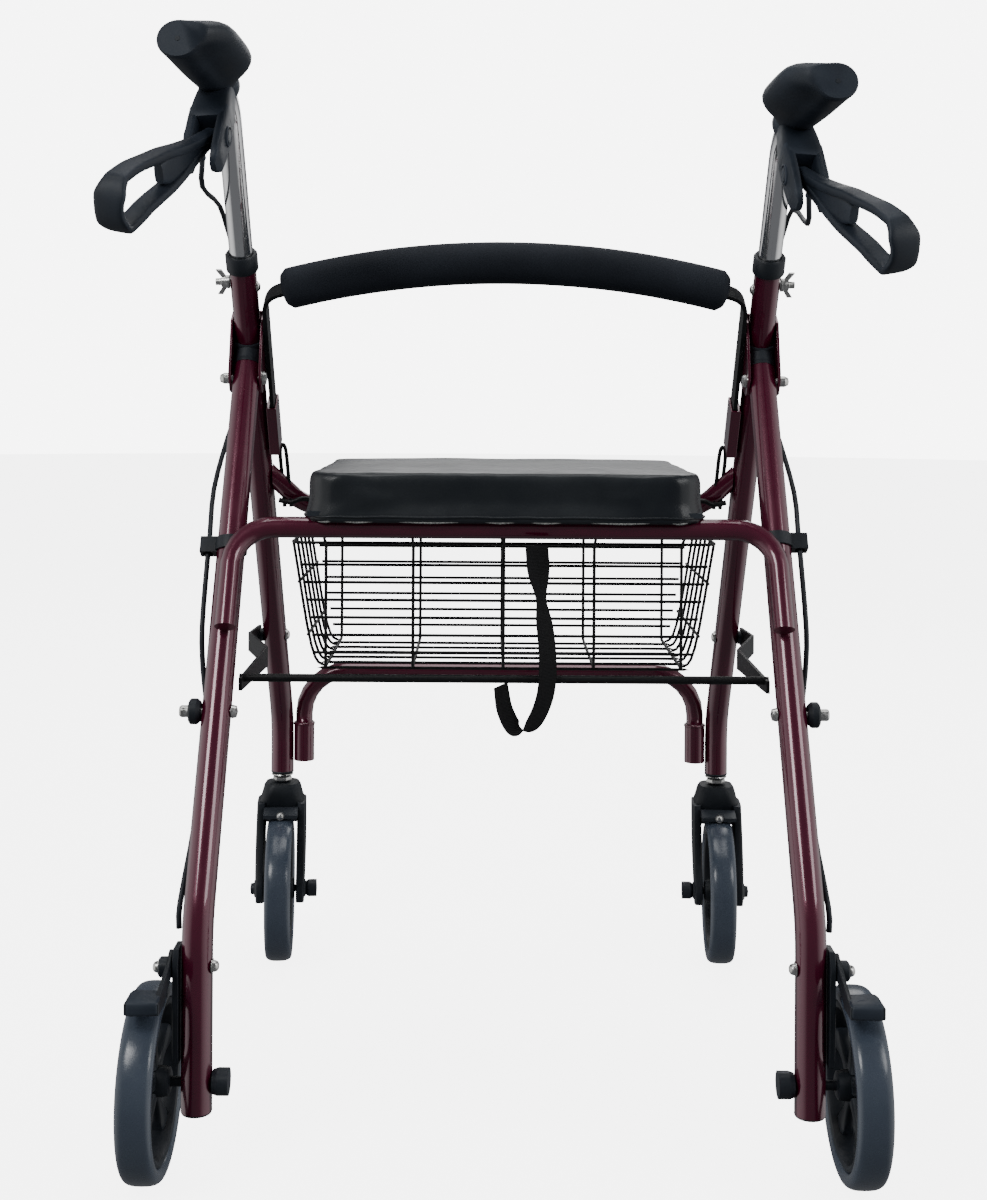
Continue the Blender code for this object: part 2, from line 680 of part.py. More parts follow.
def brake_housing(label, side):
    """Brake clamp round the handle bend, with two cheeks that carry the lever."""
    corner, grip_dir = handle_frame(side)
    pivot, along, axis = lever_frame(side)
    clamp_at = corner + grip_dir * (GRIP_START - 0.0095)
    ring = cylinder(f"brake_housing_{label}", clamp_at - grip_dir * 0.009,
                    clamp_at + grip_dir * 0.009, 0.0150, BLACK_PLASTIC, sides=24)
    down = pivot - clamp_at
    down_dir = down.normalized()
    matrix = frame_matrix(clamp_at, down_dir, axis - down_dir * axis.dot(down_dir))
    half = HOUSING_WIDTH / 2
    body = box("housing_body", (0.0075, -half, -0.0125), (down.length + 0.018, half, 0.0125),
               BLACK_PLASTIC, matrix)
    half_gap = LEVER_HUB / 2 + GAP
    lever_gap = box("lever_gap", (-0.0115, -0.03, -half_gap), (0.06, 0.03, half_gap),
                    BLACK_PLASTIC, frame_matrix(pivot, along, axis.cross(along)))
    bore = tube("clamp_bore", handle_path(side), HANDLE_R + GAP, BLACK_PLASTIC)
    grip_room = cylinder("grip_room", corner + grip_dir * (GRIP_START - GAP),
                         corner + grip_dir * (GRIP_START + 0.05), GRIP_R + GAP, BLACK_PLASTIC,
                         sides=16)
    return cut(fuse(ring, body), lever_gap, bore, grip_room)


def brake_lever(label, side):
    """Loop lever: a hub between the housing cheeks and a closed stirrup for the fingers."""
    pivot, along, axis = lever_frame(side)
    matrix = frame_matrix(pivot, along, axis.cross(along))
    end = LEVER_LENGTH
    outer = [(-0.008, 0.006), (0.010, 0.010), (0.045, 0.017), (0.090, 0.019), (0.118, 0.022),
             *arc_points((end - 0.024, 0.0), 0.024, 80, -80, 8),
             (0.118, -0.024), (0.085, -0.020), (0.045, -0.014), (0.010, -0.010),
             (-0.008, -0.006)]
    inner = [(0.060, 0.0085), (0.090, 0.0120), (0.118, 0.0160),
             *arc_points((end - 0.0250, 0.0), 0.0185, 75, -75, 6),
             (0.118, -0.0170), (0.088, -0.0125), (0.060, -0.0065), (0.053, 0.001)]
    return plate(f"brake_lever_{label}", [outer, inner], LEVER_HUB, matrix, BLACK_PLASTIC)


def wing_nut(label, side):
    """Wing nut that clamps the handle height, on the outer side of the leg top."""
    place = front_axis(side, WING_Z)
    edge = LEG_R + GAP
    body = turned(f"wing_nut_{label}",
                  [(0.0, edge + 0.013), (0.0032, edge + 0.013), (0.0034, edge + 0.008),
                   (0.0058, edge + 0.007), (0.0064, edge), (0.0, edge)],
                  place, (side, 0.0, 0.0), ZINC, sides=12)
    matrix = frame_matrix(place, (side, 0, 0), FRONT_UP)
    outline = [(edge + 0.002, -0.004), (edge + 0.002, 0.004), (edge + 0.007, 0.013),
               (edge + 0.012, 0.013), (edge + 0.006, 0.004), (edge + 0.006, -0.004),
               (edge + 0.012, -0.013), (edge + 0.007, -0.013)]
    wings = plate("wings", [outline], 0.0025, matrix, ZINC)
    return fuse(body, wings)


def brake_shoe(label, side):
    """Shoe arm beside the tyre with the pad that presses on the tread."""
    pivot_y = REAR_Y - 0.002
    x_in = LEG_X + LEG_R + 0.005 + 3 * GAP
    outline = [(pivot_y - 0.008, BRAKE_PIVOT_Z - 0.006), (pivot_y + 0.008, BRAKE_PIVOT_Z - 0.008),
               (pivot_y + 0.010, BRAKE_PIVOT_Z + 0.006), (pivot_y + 0.002, BRAKE_PIVOT_Z + 0.014),
               (pivot_y - 0.010, BRAKE_PIVOT_Z + 0.008), (pivot_y - 0.052, 0.1600),
               (pivot_y - 0.052, 0.1510), (pivot_y - 0.034, 0.1530)]
    matrix = frame_matrix((side * (x_in + 0.002), 0.0, 0.0), (0, 1, 0), (0, 0, 1))
    arm = plate(f"brake_shoe_{label}", [outline], 0.004, matrix, BLACK_PLASTIC)
    low, high = sorted((side * x_in, side * 0.2910))
    pad = box("shoe_pad", (low, pivot_y - 0.0580, 0.1505), (high, pivot_y - 0.0320, 0.1605),
              BLACK_PLASTIC)
    return fuse(arm, pad)


def wheel(prefix, label, centre, direction):
    """Tyre and spoked rim, turning on their axle. direction points along the axle."""
    inner_r = WHEEL_R - TYRE_DEPTH
    half = TYRE_WIDTH / 2
    profile = [(inner_r, half - 0.003), (inner_r + 0.003, half)]
    profile += [(WHEEL_R - 0.0085 + 0.0085 * math.cos(a), (half - 0.0055) + 0.0055 * math.sin(a))
                for a in (math.radians(55), 0.0)]
    profile += [(r, -h) for r, h in reversed(profile)]
    tyre = turned(f"{prefix}_tyre_{label}", profile, centre, direction, TYRE_RUBBER, sides=24)
    rim_r = inner_r - GAP
    hub = 0.0115
    bore = AXLE_R + GAP
    half_hub = half + 0.0022
    rim_profile = [(bore, half_hub), (hub, half_hub), (hub + 0.001, 0.004),
                   (rim_r - 0.008, 0.003), (rim_r - 0.003, half - 0.003), (rim_r, half - 0.003),
                   (rim_r, -half + 0.003), (rim_r - 0.003, -half + 0.003),
                   (rim_r - 0.008, -0.003), (hub + 0.001, -0.004), (hub, -half_hub),
                   (bore, -half_hub)]
    rim = turned(f"{prefix}_rim_{label}", rim_profile, centre, direction, BLACK_PLASTIC, sides=24)
    axis = Vector(direction).normalized()
    side_axis = Vector((0, 0, 1)).cross(axis).normalized()
    for step in range(5):
        angle = math.radians(72 * step + 54)
        out = side_axis * math.cos(angle) + Vector((0, 0, 1)) * math.sin(angle)
        place = Vector(centre) + out * 0.0315
        cut(rim, cylinder("spoke_gap", place - axis * 0.02, place + axis * 0.02, 0.0125,
                          BLACK_PLASTIC, sides=8))
    return [tyre, rim]


def caster_frame(side):
    stem = Vector((side * LEG_X, STEM_Y, 0.0))
    yaw = CASTER_YAW[side]
    trail_dir = Vector((-side * math.sin(yaw), -math.cos(yaw), 0.0))
    axle_dir = Vector((side * math.cos(yaw), -math.sin(yaw), 0.0))
    return stem, trail_dir, axle_dir


def caster_fork(label, side):
    """Moulded caster fork: crown under the leg and two cheeks that trail to the axle."""
    stem, trail_dir, axle_dir = caster_frame(side)
    matrix = frame_matrix(stem, -trail_dir, (0, 0, 1))
    outline = [(-0.022, FORK_TOP), (0.022, FORK_TOP), (0.0235, 0.166), (0.018, 0.148),
               (-TRAIL + 0.016, 0.072), (-TRAIL + 0.010, 0.0635), (-TRAIL - 0.010, 0.0635),
               (-TRAIL - 0.015, 0.072), (-TRAIL - 0.012, 0.095), (-0.030, 0.150),
               (-0.0235, 0.166)]
    body = plate(f"caster_fork_{label}", [outline], 0.056, matrix, BLACK_PLASTIC)
    centre = stem + trail_dir * TRAIL + Vector((0, 0, WHEEL_R))
    half = TYRE_WIDTH / 2 + 0.0032
    well = cylinder("wheel_well", centre - axle_dir * half, centre + axle_dir * half,
                    WHEEL_R + 0.005, BLACK_PLASTIC, sides=28)
    slot = box("wheel_slot", (-0.09, 0.0, -half), (0.05, 0.110, half), BLACK_PLASTIC, matrix)
    axle_bore = cylinder("axle_bore", centre - axle_dir * 0.05, centre + axle_dir * 0.05,
                         AXLE_R + GAP, BLACK_PLASTIC, sides=16)
    pin = cylinder("stem_pin", stem + Vector((0, 0, FORK_TOP - 0.004)),
                   stem + Vector((0, 0, FRONT_LEG_BOTTOM - GAP)), 0.0088, BLACK_PLASTIC)
    for across in (1, -1):
        low, high = sorted((across * 0.0225, across * 0.0300))
        shoulder = box("crown_shoulder", (-0.04, 0.172, low), (0.04, 0.200, high), BLACK_PLASTIC,
                       matrix)
        cut(body, shoulder)
    return cut(fuse(body, pin), well, slot, axle_bore)


def front_axle(label, side):
    """Caster axle with a black cap on its inner end and a nut on its outer end."""
    stem, trail_dir, axle_dir = caster_frame(side)
    centre = stem + trail_dir * TRAIL + Vector((0, 0, WHEEL_R))
    edge = 0.028 + GAP
    profile = [(0.0, edge + 0.0045), (0.0060, edge + 0.0035), (0.0065, edge), (AXLE_R, edge),
               (AXLE_R, -edge), (0.0075, -edge), (0.0095, -edge - 0.003), (0.0095, -edge - 0.012),
               (0.0, -edge - 0.0125)]
    return turned(f"front_axle_{label}", profile, centre, axle_dir, BLACK_STEEL, sides=12)


def build_seat():
    """Seat board on the two seat tubes and the padded cushion on it."""
    board_top = SEAT_BOTTOM + SEAT_BASE_THICK
    inset = 0.006
    seat_front = SEAT_REAR_Y + SEAT_DEPTH
    board = box("seat_board", (-SEAT_HALF_WIDTH + inset, SEAT_REAR_Y + inset, SEAT_BOTTOM),
                (SEAT_HALF_WIDTH - inset, seat_front - inset, board_top), BLACK_PLASTIC)
    bm = bmesh.new()
    size = Vector((2 * SEAT_HALF_WIDTH, SEAT_DEPTH, SEAT_TOP - board_top - GAP))
    bmesh.ops.create_cube(bm, size=1.0, matrix=Matrix.Diagonal((*size, 1.0)))
    upright = [edge for edge in bm.edges if abs(edge.verts[0].co.z - edge.verts[1].co.z) > 0.01]
    bmesh.ops.bevel(bm, geom=upright, offset=0.032, segments=4, profile=0.5, affect="EDGES")
    pad = from_bmesh("seat_pad", bm, VINYL)
    pad.location = (0.0, SEAT_REAR_Y + SEAT_DEPTH / 2, (SEAT_TOP + board_top + GAP) / 2)
    bevel(pad, 0.006)
    return [board, pad]


def basket():
    """Open-topped basket: thin tapered tub of the wire basket's outer shape."""
    def shell(bottom_z, top_z, inset):
        bm = bmesh.new()
        depth = BASKET_FRONT_Y - BASKET_REAR_Y
        bmesh.ops.create_cube(bm, size=1.0)
        for vert in bm.verts:
            top = vert.co.z > 0
            half = (BASKET_TOP_HALF if top else BASKET_BOTTOM_HALF) - inset
            vert.co.x = math.copysign(half, vert.co.x)
            vert.co.y = math.copysign(depth / 2 - inset, vert.co.y)
            vert.co.z = top_z if top else bottom_z
        low = [edge for edge in bm.edges if all(v.co.z == bottom_z for v in edge.verts)
               and abs(edge.verts[0].co.y - edge.verts[1].co.y) > 0.01]
        bmesh.ops.bevel(bm, geom=low, offset=0.020 - inset, segments=4, profile=0.5,
                        affect="EDGES")
        part = from_bmesh("basket", bm, BLACK_STEEL)
        part.location = (0.0, (BASKET_FRONT_Y + BASKET_REAR_Y) / 2, 0.0)
        return part

    tub = shell(BASKET_BOTTOM, BASKET_TOP, 0.0)
    return cut(tub, shell(BASKET_BOTTOM + BASKET_WALL, BASKET_TOP + 0.01, BASKET_WALL))


def build_backrest():
    """Arched strip standing in the two sockets and the foam sleeve on its crown."""
    origin = front_axis(0, BACKREST_TOP_Z)
    matrix = frame_matrix(origin, (1, 0, 0), FRONT_UP)
    foot = (BACKREST_FOOT_Z - BACKREST_TOP_Z) / FRONT_UP.z

    def sag(x):
        return math.sqrt(BACKREST_ARCH_R**2 - x * x) - BACKREST_ARCH_R

    crown_xs = [-BACKREST_PAD_HALF + 2 * BACKREST_PAD_HALF * i / 12 for i in range(13)]
    crown = [Vector((x, sag(x), 0.0)) for x in crown_xs]
    corners = [Vector((side * BACKREST_X, sag(BACKREST_X), 0.0)) for side in (-1, 1)]
    feet = [Vector((side * BACKREST_X, foot, 0.0)) for side in (-1, 1)]
    left_turn = filleted([feet[0], corners[0], crown[0]], STRIP_CORNER_R)
    right_turn = filleted([crown[-1], corners[1], feet[1]], STRIP_CORNER_R)
    path = left_turn[:-1] + crown + right_turn[1:]
    strip = plate("backrest_strip", [outer_band(path, STRIP_THICK / 2)], STRIP_WIDTH, matrix,
                  BLACK_STEEL)
    spine = [matrix @ point for point in crown]
    half = STRIP_WIDTH / 2 + GAP
    pad = tube("backrest_pad", spine, BACKREST_PAD_R, FOAM, resolution=5)
    bore_path = outer_band(path, STRIP_THICK / 2 + GAP)
    bore = plate("strip_bore", [bore_path], 2 * half, matrix, FOAM)
    return [strip, cut(pad, bore)]


def outer_band(path, offset):
    """Closed outline at an offset on both sides of a planar path."""
    left, right = [], []
    for before, here, after in zip([path[0]] + path[:-1], path, path[1:] + [path[-1]]):
        run = (after - before).normalized()
        normal = Vector((-run.y, run.x, 0.0)) * offset
        left.append((here + normal).to_2d())
        right.append((here - normal).to_2d())
    return left + right[::-1]


def pull_strap():
    """Webbing strap from the rear seat tube, looped under the brace rod."""
    behind = ROD_Y - ROD_R - 0.0095
    route = [(0.028, REAR_Y + 0.1260, 0.4930), (0.031, REAR_Y + 0.121, 0.455),
             (0.037, behind, 0.405), (0.036, behind - 0.001, 0.368),
             (0.025, behind - 0.001, 0.341), (0.011, behind - 0.001, 0.336),
             (0.001, behind, 0.352), (-0.003, behind, 0.374)]
    path = smooth_path(route, 4)
    half_width, half_thick = 0.009, 0.0008
    across = Vector((0.55, 0.83, 0.0)).normalized()
    bm = bmesh.new()
    rings = []
    for before, here, after in zip([path[0]] + path[:-1], path, path[1:] + [path[-1]]):
        run = (after - before).normalized()
        width = (across - run * across.dot(run)).normalized()
        face = run.cross(width) * half_thick
        width *= half_width
        rings.append([bm.verts.new(here + sx * width + sy * face)
                      for sx, sy in ((-1, -1), (1, -1), (1, 1), (-1, 1))])
    for first, second in zip(rings, rings[1:]):
        for i in range(4):
            bm.faces.new((first[i], first[(i + 1) % 4], second[(i + 1) % 4], second[i]))
    bm.faces.new(rings[0])
    bm.faces.new(rings[-1])
    return from_bmesh("pull_strap", bm, WEBBING)


def brake_cable(label, side):
    """Brake cable from the lever housing, down the frame through its clip to the brake."""
    pivot, _, _ = lever_frame(side)
    clip = rear_axis(side, CLIP_Z[label]) + Vector((side * (LEG_R + 0.0075), 0.0, 0.0))
    clear_x = side * (LEG_X + LEG_R + 0.0060)
    route = [pivot + Vector((side * 0.010, 0.034, -0.012)),
             pivot + Vector((side * 0.014, 0.058, -0.034)),
             front_axis(side, 0.795) + Vector((side * 0.0160, 0.0020, 0.0)),
             front_axis(side, 0.766) + Vector((side * 0.0110, 0.0190, 0.0)),
             front_axis(side, 0.735) + Vector((side * 0.004, 0.0245, 0.006)),
             front_axis(side, 0.690) + Vector((side * 0.006, 0.0250, 0.0)),
             front_axis(side, 0.630) + Vector((side * 0.012, 0.0225, 0.0)),
             Vector((clear_x + side * 0.004, REAR_Y + 0.280, 0.580)),
             Vector((clear_x + side * 0.006, REAR_Y + 0.215, 0.535)),
             clip + REAR_UP * 0.012,
             clip,
             clip - REAR_UP * 0.014,
             rear_axis(side, 0.420) + Vector((side * (LEG_R + 0.0065), 0.0, 0.0)),
             rear_axis(side, 0.385) + Vector((side * (LEG_R + 0.0040), 0.0110, 0.0)),
             rear_axis(side, 0.340) + Vector((side * 0.0100, 0.0185, 0.0)),
             rear_axis(side, 0.270) + Vector((side * 0.0120, 0.0160, 0.0)),
             Vector((side * (LEG_X + LEG_R + 0.0035), REAR_Y + 0.0120, 0.215)),
             Vector((side * (LEG_X + LEG_R + 0.0035), REAR_Y + 0.0080, 0.1955))]
    return tube(f"brake_cable_{label}", smooth_path(route, 3), CABLE_R, BLACK_PLASTIC,
                resolution=1)


def main():
    front = joint_empty("front_frame_origin", (0.0, STEM_Y, FRONT_LEG_BOTTOM))
    attach(front, *build_front_frame())
    fold = joint_empty("fold_axis", (0.0, HINGE_Y, HINGE_Z), front)
    attach(fold, *build_rear_frame())
    brace = joint_empty("brace_axis", (0.0, BRACE_PIVOT_Y, BRACE_PIVOT_Z), front)
    attach(brace, *build_brace(), pull_strap())
    level = front_axis(1, FRONT_SEAT_TUBE_Z)
    seat = joint_empty("seat_axis", (0.0, level.y, level.z), front)
    attach(seat, *build_seat())
    offset = (LEG_R + SEAT_TUBE_R + GAP) / REAR_UP.z
    rail_y = rear_axis(1, REAR_SEAT_TUBE_Z).y - offset
    rail = joint_empty("basket_axis", (0.0, rail_y, REAR_SEAT_TUBE_Z), fold)
    attach(rail, basket())
    back = joint_empty("backrest_slide", front_axis(0, BACKREST_FOOT_Z), front)
    attach(back, *build_backrest())
    for label, side in SIDES:
        corner, _ = handle_frame(side)
        post = joint_empty(f"handle_slide_{label}", corner, front)
        attach(post, *build_handle(label, side))
        lever = joint_empty(f"lever_axis_{label}", lever_frame(side)[0], post)
        attach(lever, brake_lever(label, side))
        nut = joint_empty(f"wing_axis_{label}", front_axis(side, WING_Z), front)
        attach(nut, wing_nut(label, side))
        pivot = (side * LEG_X, REAR_Y - 0.002, BRAKE_PIVOT_Z)
        shoe = joint_empty(f"shoe_axis_{label}", pivot, fold)
        attach(shoe, brake_shoe(label, side))
        centre = Vector((side * REAR_WHEEL_X, REAR_Y, WHEEL_R))
        axle = joint_empty(f"rear_wheel_axis_{label}", centre, fold)
        attach(axle, *wheel("rear", label, centre, (side, 0, 0)))
        stem, trail_dir, axle_dir = caster_frame(side)
        swivel = joint_empty(f"caster_axis_{label}", stem, front)
        attach(swivel, caster_fork(label, side), front_axle(label, side))
        centre = stem + trail_dir * TRAIL + Vector((0, 0, WHEEL_R))
        spin = joint_empty(f"front_wheel_axis_{label}", centre, swivel)
        attach(spin, *wheel("front", label, centre, axle_dir))
        attach(front, brake_cable(label, side))


clear_scene()
PARTS = make_collection(COLLECTION)
HELPERS = make_collection("cutters")
main()
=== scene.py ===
"""Looks for the rollator walker: paint, chrome, rubber, wires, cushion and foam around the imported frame."""

import json
import math

import bmesh
import bpy
from mathutils import Matrix, Vector, noise


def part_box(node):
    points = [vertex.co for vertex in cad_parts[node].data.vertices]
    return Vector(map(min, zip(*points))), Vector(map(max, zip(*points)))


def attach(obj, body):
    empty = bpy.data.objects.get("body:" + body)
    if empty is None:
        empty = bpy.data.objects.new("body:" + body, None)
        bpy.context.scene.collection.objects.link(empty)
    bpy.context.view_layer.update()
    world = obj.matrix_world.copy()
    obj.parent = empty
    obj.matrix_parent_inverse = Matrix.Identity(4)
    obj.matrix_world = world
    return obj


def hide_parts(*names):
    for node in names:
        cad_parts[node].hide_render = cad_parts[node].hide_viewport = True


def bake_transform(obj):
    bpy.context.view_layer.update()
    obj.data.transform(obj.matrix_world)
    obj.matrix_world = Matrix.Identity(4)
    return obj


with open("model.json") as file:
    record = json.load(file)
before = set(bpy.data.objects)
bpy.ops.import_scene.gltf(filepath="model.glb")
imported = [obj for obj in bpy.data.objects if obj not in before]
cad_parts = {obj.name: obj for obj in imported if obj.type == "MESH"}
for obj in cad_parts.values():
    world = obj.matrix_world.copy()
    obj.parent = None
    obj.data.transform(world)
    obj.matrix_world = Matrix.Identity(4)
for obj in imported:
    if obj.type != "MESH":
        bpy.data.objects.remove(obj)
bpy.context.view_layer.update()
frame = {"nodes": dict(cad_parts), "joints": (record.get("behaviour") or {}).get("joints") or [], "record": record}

JOINTS = {joint["name"]: joint for joint in frame["joints"]}
BODIES = frame["record"]["behaviour"]["bodies"]
BODY_OF = {node: body for body, nodes in BODIES.items() for node in nodes}
SIDES = (("left", -1), ("right", 1))

# Driving dimensions, in metres. The leans are metres along Y per metre of height.
LEG_X = 0.245
LEG_R = 0.0127
SEAT_TUBE_R = 0.0095
LEAN = 0.668
REAR_LEAN = 0.564
FRONT_UP = Vector((0.0, -LEAN, 1.0)).normalized()
REAR_UP = Vector((0.0, REAR_LEAN, 1.0)).normalized()
UP = Vector((0.0, 0.0, 1.0))
WHEEL_R = 0.076
TYRE_WIDTH = 0.028
TYRE_DEPTH = 0.013
WIRE_R = 0.0014
RIM_WIRE_R = 0.0020
BASKET_WIRE_X = (-0.163, -0.083, 0.0, 0.083, 0.163)
BRACE_BOLT_X = 0.263 + 0.0015
CABLE_SPLIT_Z = 0.690
DOUBLED_POINTS = 0.00002


# ---------------------------------------------------------------- materials

def add_node(tree, kind, **values):
    """New shader node; a keyword sets an input by name, or a property when there is no such input."""
    made = tree.nodes.new(kind)
    for key, value in values.items():
        label = key.replace("_", " ").title()
        if label in made.inputs:
            made.inputs[label].default_value = value
        else:
            setattr(made, key, value)
    return made


def ramp_between(tree, factor, low, high, start=0.35, stop=0.65):
    """Colour ramp from low to high; numbers make a grey ramp."""
    ramp = add_node(tree, "ShaderNodeValToRGB")
    for element, position, value in zip(ramp.color_ramp.elements, (start, stop), (low, high)):
        element.position = position
        element.color = (*value, 1.0) if isinstance(value, tuple) else (value, value, value, 1.0)
    tree.links.new(factor, ramp.inputs["Fac"])
    return ramp.outputs["Color"]


class Finish:
    """Principled material whose inputs are driven by textures in object space."""

    def __init__(self, name, colour, roughness, metallic=0.0, **inputs):
        self.material = bpy.data.materials.new(name)
        self.material.use_nodes = True
        self.tree = self.material.node_tree
        self.shader = self.tree.nodes["Principled BSDF"]
        self.shader.inputs["Base Color"].default_value = (*colour, 1.0)
        self.shader.inputs["Roughness"].default_value = roughness
        self.shader.inputs["Metallic"].default_value = metallic
        for key, value in inputs.items():
            socket = key.replace("_", " ").title().replace("Ior", "IOR")
            self.shader.inputs[socket].default_value = value
        self.here = add_node(self.tree, "ShaderNodeTexCoord").outputs["Object"]
        self.normal = None

    def texture(self, kind, **values):
        made = add_node(self.tree, kind, **values)
        self.tree.links.new(self.here, made.inputs["Vector"])
        return made

    def noise(self, scale, detail=4.0, stretch=None):
        """Noise from 0 to 1; stretch scales the space it is taken in."""
        field = self.texture("ShaderNodeTexNoise", scale=scale, detail=detail)
        if stretch:
            mapping = self.texture("ShaderNodeMapping", scale=stretch)
            self.tree.links.new(mapping.outputs["Vector"], field.inputs["Vector"])
        return field.outputs["Fac"]

    def drive(self, socket, factor, low, high, start=0.35, stop=0.65):
        """Move a shader input from low to high as the factor goes from start to stop."""
        self.tree.links.new(ramp_between(self.tree, factor, low, high, start, stop),
                            self.shader.inputs[socket])

    def bump(self, height, strength, distance):
        """Bump the surface, on top of the bump before it."""
        bump = add_node(self.tree, "ShaderNodeBump", strength=strength, distance=distance)
        self.tree.links.new(height, bump.inputs["Height"])
        if self.normal:
            self.tree.links.new(self.normal, bump.inputs["Normal"])
        self.normal = bump.outputs["Normal"]
        self.tree.links.new(self.normal, self.shader.inputs["Normal"])


def worn_edges(tree, base, edge_colour):
    """Lighten a colour where the surface turns sharply, as rubbed edges do."""
    pointiness = add_node(tree, "ShaderNodeNewGeometry").outputs["Pointiness"]
    mix = add_node(tree, "ShaderNodeMix", data_type="RGBA")
    tree.links.new(ramp_between(tree, pointiness, 0.0, 1.0, 0.53, 0.62), mix.inputs["Factor"])
    tree.links.new(base, mix.inputs[6])
    mix.inputs[7].default_value = (*edge_colour, 1.0)
    return mix.outputs[2]


def burgundy_paint():
    paint = Finish("burgundy_paint", (0.095, 0.0016, 0.024), 0.24, 0.30, coat_weight=1.0, coat_roughness=0.05)
    paint.drive("Base Color", paint.noise(1900.0, 1.0), (0.086, 0.0013, 0.0215), (0.108, 0.0022, 0.0280),
                0.35, 0.70)
    paint.drive("Roughness", paint.noise(24.0, 5.0), 0.20, 0.32)
    paint.bump(paint.noise(120.0, 2.0), 0.012, 0.0004)
    return paint.material


def chrome():
    metal = Finish("chrome", (0.80, 0.80, 0.81), 0.09, 1.0)
    streaks = metal.noise(70.0, 6.0, (6.0, 6.0, 0.5))
    metal.drive("Roughness", streaks, 0.05, 0.20)
    metal.bump(streaks, 0.02, 0.0003)
    return metal.material


def zinc_steel():
    metal = Finish("zinc_steel", (0.62, 0.62, 0.60), 0.26, 1.0)
    spots = metal.noise(420.0)
    metal.drive("Base Color", spots, (0.50, 0.50, 0.47), (0.72, 0.72, 0.71))
    metal.drive("Roughness", spots, 0.16, 0.42)
    metal.bump(spots, 0.10, 0.0003)
    return metal.material


def moulded_plastic(name, colour, roughness, grain, strength):
    plastic = Finish(name, colour, roughness, specular_ior_level=0.32)
    haze = plastic.noise(30.0, 5.0)
    lighter = tuple(c * 1.55 + 0.002 for c in colour)
    rubbed = tuple(c * 2.6 + 0.008 for c in colour)
    base = ramp_between(plastic.tree, haze, colour, lighter, 0.38, 0.72)
    plastic.tree.links.new(worn_edges(plastic.tree, base, rubbed), plastic.shader.inputs["Base Color"])
    plastic.drive("Roughness", haze, roughness - 0.06, roughness + 0.10)
    plastic.bump(plastic.noise(grain, 2.0), strength, 0.0004)
    return plastic.material


def powder_steel():
    coat = Finish("black_powder_steel", (0.005, 0.005, 0.006), 0.42, specular_ior_level=0.28)
    peel = coat.noise(700.0, 3.0)
    coat.drive("Roughness", peel, 0.36, 0.52)
    coat.drive("Base Color", peel, (0.0035, 0.0038, 0.0045), (0.0085, 0.0090, 0.0105))
    coat.bump(peel, 0.12, 0.0005)
    return coat.material


def tyre_rubber():
    rubber = Finish("grey_tyre", (0.040, 0.058, 0.092), 0.36, coat_weight=0.20, coat_roughness=0.20)
    rubber.drive("Base Color", rubber.noise(46.0, 6.0), (0.050, 0.066, 0.093), (0.064, 0.082, 0.112),
                 0.20, 0.85)
    scuffs = rubber.noise(180.0, 5.0)
    rubber.drive("Roughness", scuffs, 0.20, 0.34, 0.3, 0.8)
    rubber.bump(scuffs, 0.025, 0.0004)
    return rubber.material


def vinyl():
    cover = Finish("seat_vinyl", (0.006, 0.008, 0.010), 0.34, specular_ior_level=0.42)
    haze = cover.noise(14.0)
    cover.drive("Base Color", haze, (0.0080, 0.0108, 0.0150), (0.0125, 0.0165, 0.0205))
    cover.drive("Roughness", haze, 0.30, 0.44)
    cells = cover.texture("ShaderNodeTexVoronoi", feature="DISTANCE_TO_EDGE", scale=620.0)
    cover.bump(cover.noise(38.0, 3.0), 0.16, 0.0030)
    cover.bump(cells.outputs["Distance"], 0.22, 0.0006)
    return cover.material


def foam():
    sponge = Finish("backrest_foam", (0.006, 0.008, 0.012), 0.75, specular_ior_level=0.25)
    pores = sponge.texture("ShaderNodeTexVoronoi", scale=900.0)
    haze = sponge.noise(18.0, 5.0)
    sponge.drive("Base Color", haze, (0.0088, 0.0118, 0.0185), (0.0140, 0.0180, 0.0265))
    sponge.bump(haze, 0.12, 0.004)
    sponge.bump(pores.outputs["Distance"], 0.35, 0.0006)
    return sponge.material


def webbing():
    tape = Finish("strap_webbing", (0.006, 0.006, 0.007), 0.80, specular_ior_level=0.2)
    ribs = tape.texture("ShaderNodeTexWave", scale=260.0, distortion=0.6, bands_direction="Z")
    across = tape.texture("ShaderNodeTexWave", scale=330.0, distortion=0.4, bands_direction="DIAGONAL")
    tape.drive("Base Color", ribs.outputs["Fac"], (0.0030, 0.0030, 0.0036), (0.0120, 0.0120, 0.0135))
    tape.bump(ribs.outputs["Fac"], 0.5, 0.0006)
    tape.bump(across.outputs["Fac"], 0.3, 0.0004)
    return tape.material


def pale_thread():
    thread = Finish("welt_thread", (0.30, 0.31, 0.30), 0.65)
    twist = thread.noise(800.0, 2.0)
    thread.drive("Base Color", twist, (0.10, 0.11, 0.11), (0.42, 0.43, 0.41))
    thread.bump(twist, 0.4, 0.0005)
    return thread.material


PAINT = burgundy_paint()
CHROME = chrome()
ZINC = zinc_steel()
PLASTIC = moulded_plastic("black_plastic", (0.0068, 0.0090, 0.0125), 0.44, 1500.0, 0.10)
GRIP = moulded_plastic("grip_rubber", (0.0120, 0.0170, 0.0255), 0.50, 1200.0, 0.16)
STEEL = powder_steel()
TYRE = tyre_rubber()
VINYL = vinyl()
FOAM = foam()
WEBBING = webbing()
THREAD = pale_thread()

